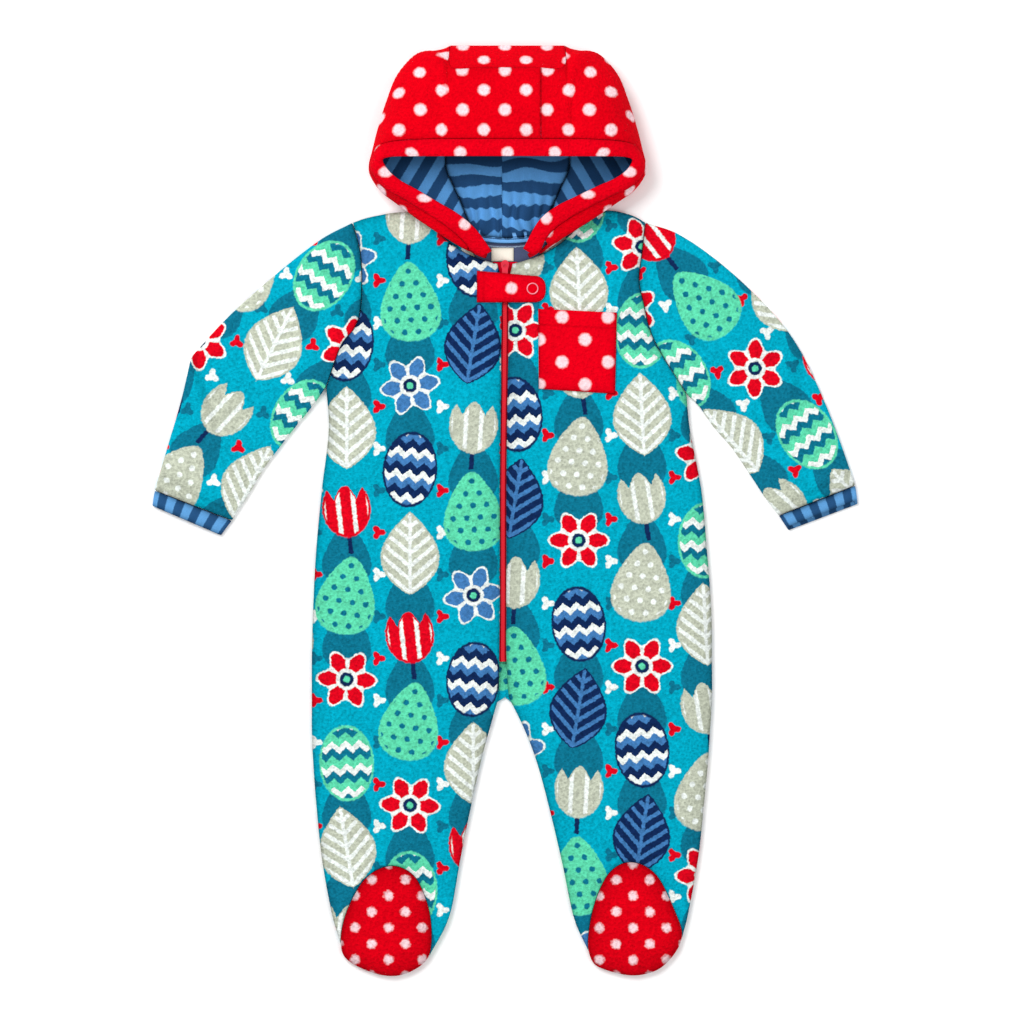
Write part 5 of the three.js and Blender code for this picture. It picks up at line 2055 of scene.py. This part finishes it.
@dataclass(frozen=True)
class Hood:
    """The hood's outside and lining: two sides and a gusset each, and the band round both."""

    form: HoodForm
    side_places: int = 190
    side_rows: int = 44
    side_crowding: float = 1.15
    gusset_places: int = 110
    gusset_across: int = 90
    seam_places: int = 90
    band_places: int = 420
    band_rows: int = 12
    band_crowding: float = 1.6
    band_edge: float = 0.45
    end_reach: float = 0.8
    end_shade: float = 0.35
    dip_reach: float = 1.5
    lining_seam: float = -2.4
    seam_width: float = 0.7
    middle_seam_shade: float = 0.5
    pleat: float = 2.4
    pleat_turn: float = 1.35
    pleat_sway: float = 2.4
    pleat_from: float = 4.0
    pleat_fade: float = 62.0
    pleat_shade: float = 0.3
    sag: float = 0.8
    pleat_pull: float = 2.2
    pattern_sway: float = 3.6

    def side_places_of(self, half: Half, first: float) -> Array:
        """Places along the rim of one side, from its front to the crown seam.

        Args:
            half: The half of the suit.
            first: The first place along the rim.

        Returns:
            The places.
        """
        if half.sign < 0:
            return np.linspace(first, CROWN_SEAM - CROWN_GAP, self.side_places)
        return np.linspace(CROWN_SEAM + CROWN_GAP, self.form.last - first, self.side_places)

    def side_patch(self, half: Half, layer: Layer, first: float) -> Patch:
        """A side of the shell or of the lining, between the band and the seams.

        Args:
            half: The half of the suit.
            layer: Shell or lining.
            first: The first place along the rim.

        Returns:
            The patch, with places as its rows.
        """
        form = self.form
        place = self.side_places_of(half, first)
        long = form.length(place)
        start = form.band_share(place) + HOOD_JOIN / long
        down = even(self.side_rows) ** self.side_crowding
        share = mix(start[:, None], (1 - HOOD_JOIN / long)[:, None], down[None])
        point = form.point(place, share)
        out = form.side_outward(place, share)
        outer, inner = (form.beside_gusset(point + out * away, place) for away in (layer.out, layer.under))
        # Painted shade along the seams; the lining also gets the brim's painted shadow
        edge = border_distance(outer, "tblr")
        if layer is SHELL:
            return Patch(outer, inner, form.rim_pattern(place, share), seam_shade(edge, wide=6, narrow=1.8))
        pattern = np.stack([np.abs(point[..., 0] - HOOD_CENTRE), point[..., 1]], axis=-1)
        shade = np.maximum(seam_shade(edge, wide=6, narrow=1.5), brim_shade(point[..., 1]))
        return Patch(inner, outer, pattern, shade)

    def gusset_points(self, place: Array) -> tuple[Array, Array]:
        """The gusset's lines from edge to edge: straight, dipped at the nape, and bent at the corner.

        Args:
            place: Places along the rim, from the nape to the corner.

        Returns:
            The points, and how far each line follows the seam at the corner, from 0 to 1.
        """
        form = self.form
        ends = np.ones((len(place), 1))
        across = even(self.gusset_across)[None, :, None]
        point = mix(form.point(place, ends), form.point(form.last - place, ends), across)
        dip = NAPE_DIP * (1 - np.clip((place - NAPE_ROW) / self.dip_reach, 0, 1)) ** 2
        point[..., 1] -= dip[:, None] * 4 * across[..., 0] * (1 - across[..., 0])
        seam_place = np.linspace(CORNER_ROW, form.last - CORNER_ROW, self.seam_places)
        seam = form.point(seam_place, np.ones((self.seam_places, 1)))[:, 0]
        straight = point[-1].copy()
        met = [np.interp(straight[:, 0], seam[:, 0], seam[:, axis]) for axis in (1, 2)]
        follow = np.stack([straight[:, 0], *met], axis=-1)
        pull = ease(1 - (CORNER_ROW - place) / self.end_reach)[:, None]
        return point + pull[..., None] * (follow - straight), pull

    def gusset_patch(self, layer: Layer) -> Patch:
        """The gusset between its two edges, from the nape to the top corner.

        The lining is gathered at the nape: its pleats are a wave across that sways and fades upwards.

        Args:
            layer: Shell or lining.

        Returns:
            The patch, with places as its rows.
        """
        place = np.linspace(NAPE_ROW, CORNER_ROW, self.gusset_places)
        point, pull = self.gusset_points(place)
        out = self.form.gusset_outward(place)[:, None]
        outer, inner = point + out * layer.out, point + out * layer.under
        way = way_along(point[:, 0])
        pattern = np.stack([point[..., 0], np.broadcast_to(way[:, None], point.shape[:2])], axis=-1)
        # Painted shade along the seams, lighter at the gusset's end
        shade = seam_shade(border_distance(outer, "tblr"), wide=6, narrow=1.6)
        if layer is SHELL:
            return Patch(outer, inner, pattern, shade * mix(1, self.end_shade, pull))
        gathered = 1 - ease((way - self.pleat_from) / self.pleat_fade)[:, None]
        x, along = pattern[..., 0], pattern[..., 1].copy()
        fold = 0.5 + 0.5 * np.sin(x / self.pleat_turn + self.pleat_sway * ripple(x, along, 24, 0.3))
        depth = self.pleat * gathered * fold + self.sag * (ripple(x, along, 34, 2.0) + 1)
        outer = outer - out * depth[..., None]
        inner = inner - out * depth[..., None]
        pattern[..., 1] += self.pleat_pull * gathered * fold + self.pattern_sway * ripple(x, along, 38, 1.1)
        # Painted shade in the pleats' folds and in the ditch of the lining's middle seam, with the brim's
        # painted shadow
        centre = self.middle_seam_shade * bell(x - self.lining_seam, self.seam_width)
        shade = np.maximum(shade, self.pleat_shade * gathered * fold**2 + centre)
        return Patch(inner, outer, pattern, np.maximum(shade, brim_shade(point[..., 1])))

    def band_patch(self) -> Patch:
        """The band round the rim, as thick as shell and lining together, with a rounded edge.

        Returns:
            The patch, with places as its rows.
        """
        form = self.form
        place = np.linspace(0, form.last, self.band_places)
        down = even(self.band_rows) ** self.band_crowding
        share = form.band_share(place)[:, None] * down[None]
        point = form.point(place, share)
        out = form.outward(place, share)
        thick = mix(self.band_edge, 1, swell(down * 4))[None, :, None]
        outer = point + out * SHELL.out * thick
        inner = point + out * LINING.under * thick
        way = way_along(point[:, 0])
        centre = np.interp(CENTRE_ROW, place, way)
        reach = share * form.length(place)[:, None]
        pattern = np.stack([np.broadcast_to((way - centre)[:, None], reach.shape), reach], axis=-1)
        # Painted shade along the band's seams
        shade = seam_shade(border_distance(outer, "tbr"), wide=5, narrow=1.6)
        return Patch(outer, inner, pattern, shade)

    def build(
        self, shell: bpy.types.Material, band: bpy.types.Material, linings: dict[str, bpy.types.Material]
    ) -> None:
        """Builds and dresses the hood and its lining.

        Args:
            shell: Finish of the sides and the gusset.
            band: Finish of the band.
            linings: Finishes of the lining, by node.
        """
        for half in HALVES:
            side = "hood_side_" + half.name
            patch = self.side_patch(half, SHELL, FIRST_SIDE_ROW)
            sew(side, [patch], shell, edge=0.25)
            node = "lining_side_" + half.name
            patch = self.side_patch(half, LINING, FIRST_LINING_ROW)
            sew(node, [patch], linings[node], edge=0.12)
        patch = self.gusset_patch(SHELL)
        sew("hood_gusset", [patch], shell, edge=0.25)
        node = "lining_gusset"
        sew(node, [self.gusset_patch(LINING)], linings[node], edge=0.12)
        sew("hood_band", [self.band_patch()], band, edge=0.25)


Line = Callable[[Array, Array], Array]


@dataclass(frozen=True)
class NeckFinish:
    """Tape, facing and bare label inside the back of the neck."""

    tape_left: float = -24.0
    tape_right: float = 28.0
    tape_above: float = 6.0
    tape_below: float = 3.0
    facing_left: float = -30.0
    facing_right: float = 34.0
    facing_below: float = 1.0
    facing_middle: float = 24.0
    facing_side: float = 4.0
    label_x: float = -2.0
    label_y: float = 205.5
    label_width: float = 18.0
    label_length: float = 11.0
    label_height: float = 0.5
    label_height: float = 0.5

    def strip(self, left: float, right: float, high: Line, low: Line, floor: float, thick: float) -> Patch:
        """A strip between two lines.

        Args:
            left: Where it starts.
            right: Where it ends.
            high: Its upper line, from places across and their shares.
            low: Its lower line.
            floor: Height of its underside.
            thick: Its thickness.

        Returns:
            The patch.
        """
        down, across = lattice(even(14), even(48))
        x = mix(left, right, across)
        y = mix(high(x, across), low(x, across), down)
        plan = np.stack([x, y], axis=-1)
        outer = with_height(plan, floor + thick)
        # Painted shade along the strip's sewn edges
        shade = seam_shade(border_distance(outer, "tblr"), wide=2.5, narrow=0.9)
        from_top = (high(x, across) - low(x, across)) * down
        return Patch(outer, with_height(plan, floor), np.stack([x, from_top], axis=-1), shade)

    def build(
        self, tape: bpy.types.Material, facing: bpy.types.Material, label: bpy.types.Material
    ) -> None:
        """Builds and dresses the three strips.

        Args:
            tape: Finish of the tape.
            facing: Finish of the facing.
            label: Finish of the label.
        """
        patch = self.strip(
            self.tape_left, self.tape_right,
            lambda x, share: back_neck(x) + self.tape_above,
            lambda x, share: back_neck(x) - self.tape_below,
            FLEECE + LINING_GAP + JERSEY + GAP, TAPE,
        )
        sew("neck_tape", [patch], tape, edge=0.2)
        patch = self.strip(
            self.facing_left, self.facing_right,
            lambda x, share: back_neck(x) - self.facing_below,
            lambda x, share: back_neck(x) - self.facing_below
            - mix(self.facing_middle, self.facing_side, (2 * share - 1) ** 4),
            FRONT_FLOOR, TAPE,
        )
        sew("neck_facing", [patch], facing, edge=0.2)
        half_width, half_length = self.label_width / 2, self.label_length / 2
        patch = self.strip(
            self.label_x - half_width, self.label_x + half_width,
            lambda x, share: np.full_like(x, self.label_y + half_length),
            lambda x, share: np.full_like(x, self.label_y - half_length),
            FRONT_FLOOR + TAPE + GAP, self.label_height,
        )
        sew("neck_label", [patch], label, edge=0.1)


@dataclass(frozen=True)
class Studio:
    """Floor, lights and the camera straight above."""

    view_width: float = 0.8192
    view_x: float = 0.0056
    view_y: float = -0.0004
    height: float = 10.0
    sensor: float = 36.0
    floor_size: float = 8.0
    floor_drop: float = 0.0003
    sky: float = 0.62

    def build(self) -> None:
        """Builds the floor, the sky, two soft lights and the camera."""
        self._floor()
        world = bpy.data.worlds.new("studio")
        world.use_nodes = True
        backdrop = world.node_tree.nodes["Background"]
        backdrop.inputs["Color"].default_value = (1.0, 1.0, 1.0, 1.0)
        backdrop.inputs["Strength"].default_value = self.sky
        bpy.context.scene.world = world
        self._light("key", (-1.3, 1.5, 2.2), 1.5, 62.0)
        self._light("fill", (1.6, -1.0, 2.4), 2.2, 26.0)
        camera = bpy.data.objects.new("camera", bpy.data.cameras.new("camera"))
        camera.data.sensor_width = self.sensor
        camera.data.lens = self.sensor * self.height / self.view_width
        camera.data.clip_end = 60.0
        camera.location = (self.view_x, self.view_y, self.height)
        bpy.context.collection.objects.link(camera)
        bpy.context.scene.camera = camera
        bpy.context.scene.view_settings.view_transform = "Standard"

    def _floor(self) -> None:
        """A pale floor just under the suit."""
        half = self.floor_size / 2
        mesh = bpy.data.meshes.new("floor")
        corners = [(-half, -half), (half, -half), (half, half), (-half, half)]
        mesh.from_pydata([(x, y, -self.floor_drop) for x, y in corners], [], [(0, 1, 2, 3)])
        floor = bpy.data.objects.new("floor", mesh)
        bpy.context.collection.objects.link(floor)
        easel = Easel("floor")
        easel.colour(easel.shaded(Paint.FLOOR.value, easel.noise(300.0) * 0.02 + 0.99))
        easel.set(Roughness=0.9)
        mesh.materials.append(easel.material)

    def _light(self, name: str, place: tuple[float, float, float], size: float, power: float) -> None:
        """A square soft light that points at the suit's middle."""
        light = bpy.data.objects.new(name, bpy.data.lights.new(name, "AREA"))
        light.data.size = size
        light.data.energy = power
        light.location = place
        x, y, z = place
        light.rotation_euler = (math.atan2(math.hypot(x, y), z), 0.0, math.atan2(x, -y))
        bpy.context.collection.objects.link(light)


def main() -> None:
    """Loads the frame and builds every sub-assembly in order."""
    logging.basicConfig(level=logging.INFO, format="%(name)s %(message)s")
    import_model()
    garden = ClothFinish("garden_fleece", FLEECE_NAP, GardenPrint().paint).make()
    hood_print = Dots(33.6, 16.0, 4.6, Paint.HOOD_RED)
    band_print = Dots(37.6, 40.0, 4.5, Paint.POCKET_RED, first_v=2.6)
    foot_print = Dots(26.9, 12.8, 3.6, Paint.FOOT_RED)
    pocket_print = Dots(36.8, 18.0, 4.9, Paint.POCKET_RED, first_u=45.6, first_v=155.5)
    tab_print = Dots(36.8, 18.0, 4.4, Paint.POCKET_RED, first_u=5.2, first_v=178.5)
    hood_dots = ClothFinish("hood_fleece", HOOD_NAP, hood_print.paint).make()
    band_dots = ClothFinish("band_fleece", HOOD_NAP, band_print.paint).make()
    foot_dots = ClothFinish("foot_fleece", FOOT_NAP, foot_print.paint).make()
    pocket_dots = ClothFinish("pocket_fleece", PATCH_NAP, pocket_print.paint).make()
    tab_dots = ClothFinish("tab_fleece", PATCH_NAP, tab_print.paint).make()
    rib_print = Stripes(15.0, Paint.RIB_DARK, Paint.RIB_LIGHT, first=8.0)
    rib = ClothFinish("cuff_rib", RIB_NAP, rib_print.paint).make()
    zip_cloth = ClothFinish("zip_cloth", TAPE_NAP, plain(Paint.ZIP)).make()
    zip_plastic = GlossFinish("zip_plastic", Paint.ZIP, roughness=0.6).make()
    slider = GlossFinish("slider_plastic", Paint.SLIDER, roughness=0.25).make()
    ring = GlossFinish("ring_metal", Paint.RING, roughness=0.35, metallic=0.3).make()
    side_print = Stripes(
        19.0, Paint.LINING_DARK, Paint.LINING_LIGHT, dark_share=0.52, first=3.0, slant=0.6
    )
    gusset_print = Stripes(
        18.6, Paint.LINING_DARK, Paint.LINING_LIGHT, first=9.0, along_v=True, seam_at=-2.4, seam_shift=6.0
    )
    side_stripes = ClothFinish("lining_sides", JERSEY_NAP, side_print.paint).make()
    gusset_stripes = ClothFinish("lining_gusset", JERSEY_NAP, gusset_print.paint).make()
    tape_print = Bands(Paint.NECK, Paint.TAPE_LINE, (3.6, 5.2, 8.6))
    facing_print = Bands(Paint.FACING, Paint.THREAD, (4.4,), width=0.6)
    tape = ClothFinish("neck_tape", TAPE_NAP, tape_print.paint).make()
    facing = ClothFinish("neck_facing", JERSEY_NAP, facing_print.paint).make()
    label = ClothFinish("neck_label", TAPE_NAP, plain(Paint.CREAM)).make()
    Body().build(garden)
    Arms().build(garden, rib)
    Feet().build(foot_dots)
    Zip().build(zip_cloth, zip_plastic, slider)
    ChinTab().build(tab_dots, ring)
    Pocket().build(pocket_dots)
    linings = {
        "lining_side_right": side_stripes,
        "lining_side_left": side_stripes,
        "lining_gusset": gusset_stripes,
    }
    Hood(HoodForm()).build(hood_dots, band_dots, linings)
    NeckFinish().build(tape, facing, label)
    Studio().build()


if __name__ == "__main__":
    main()
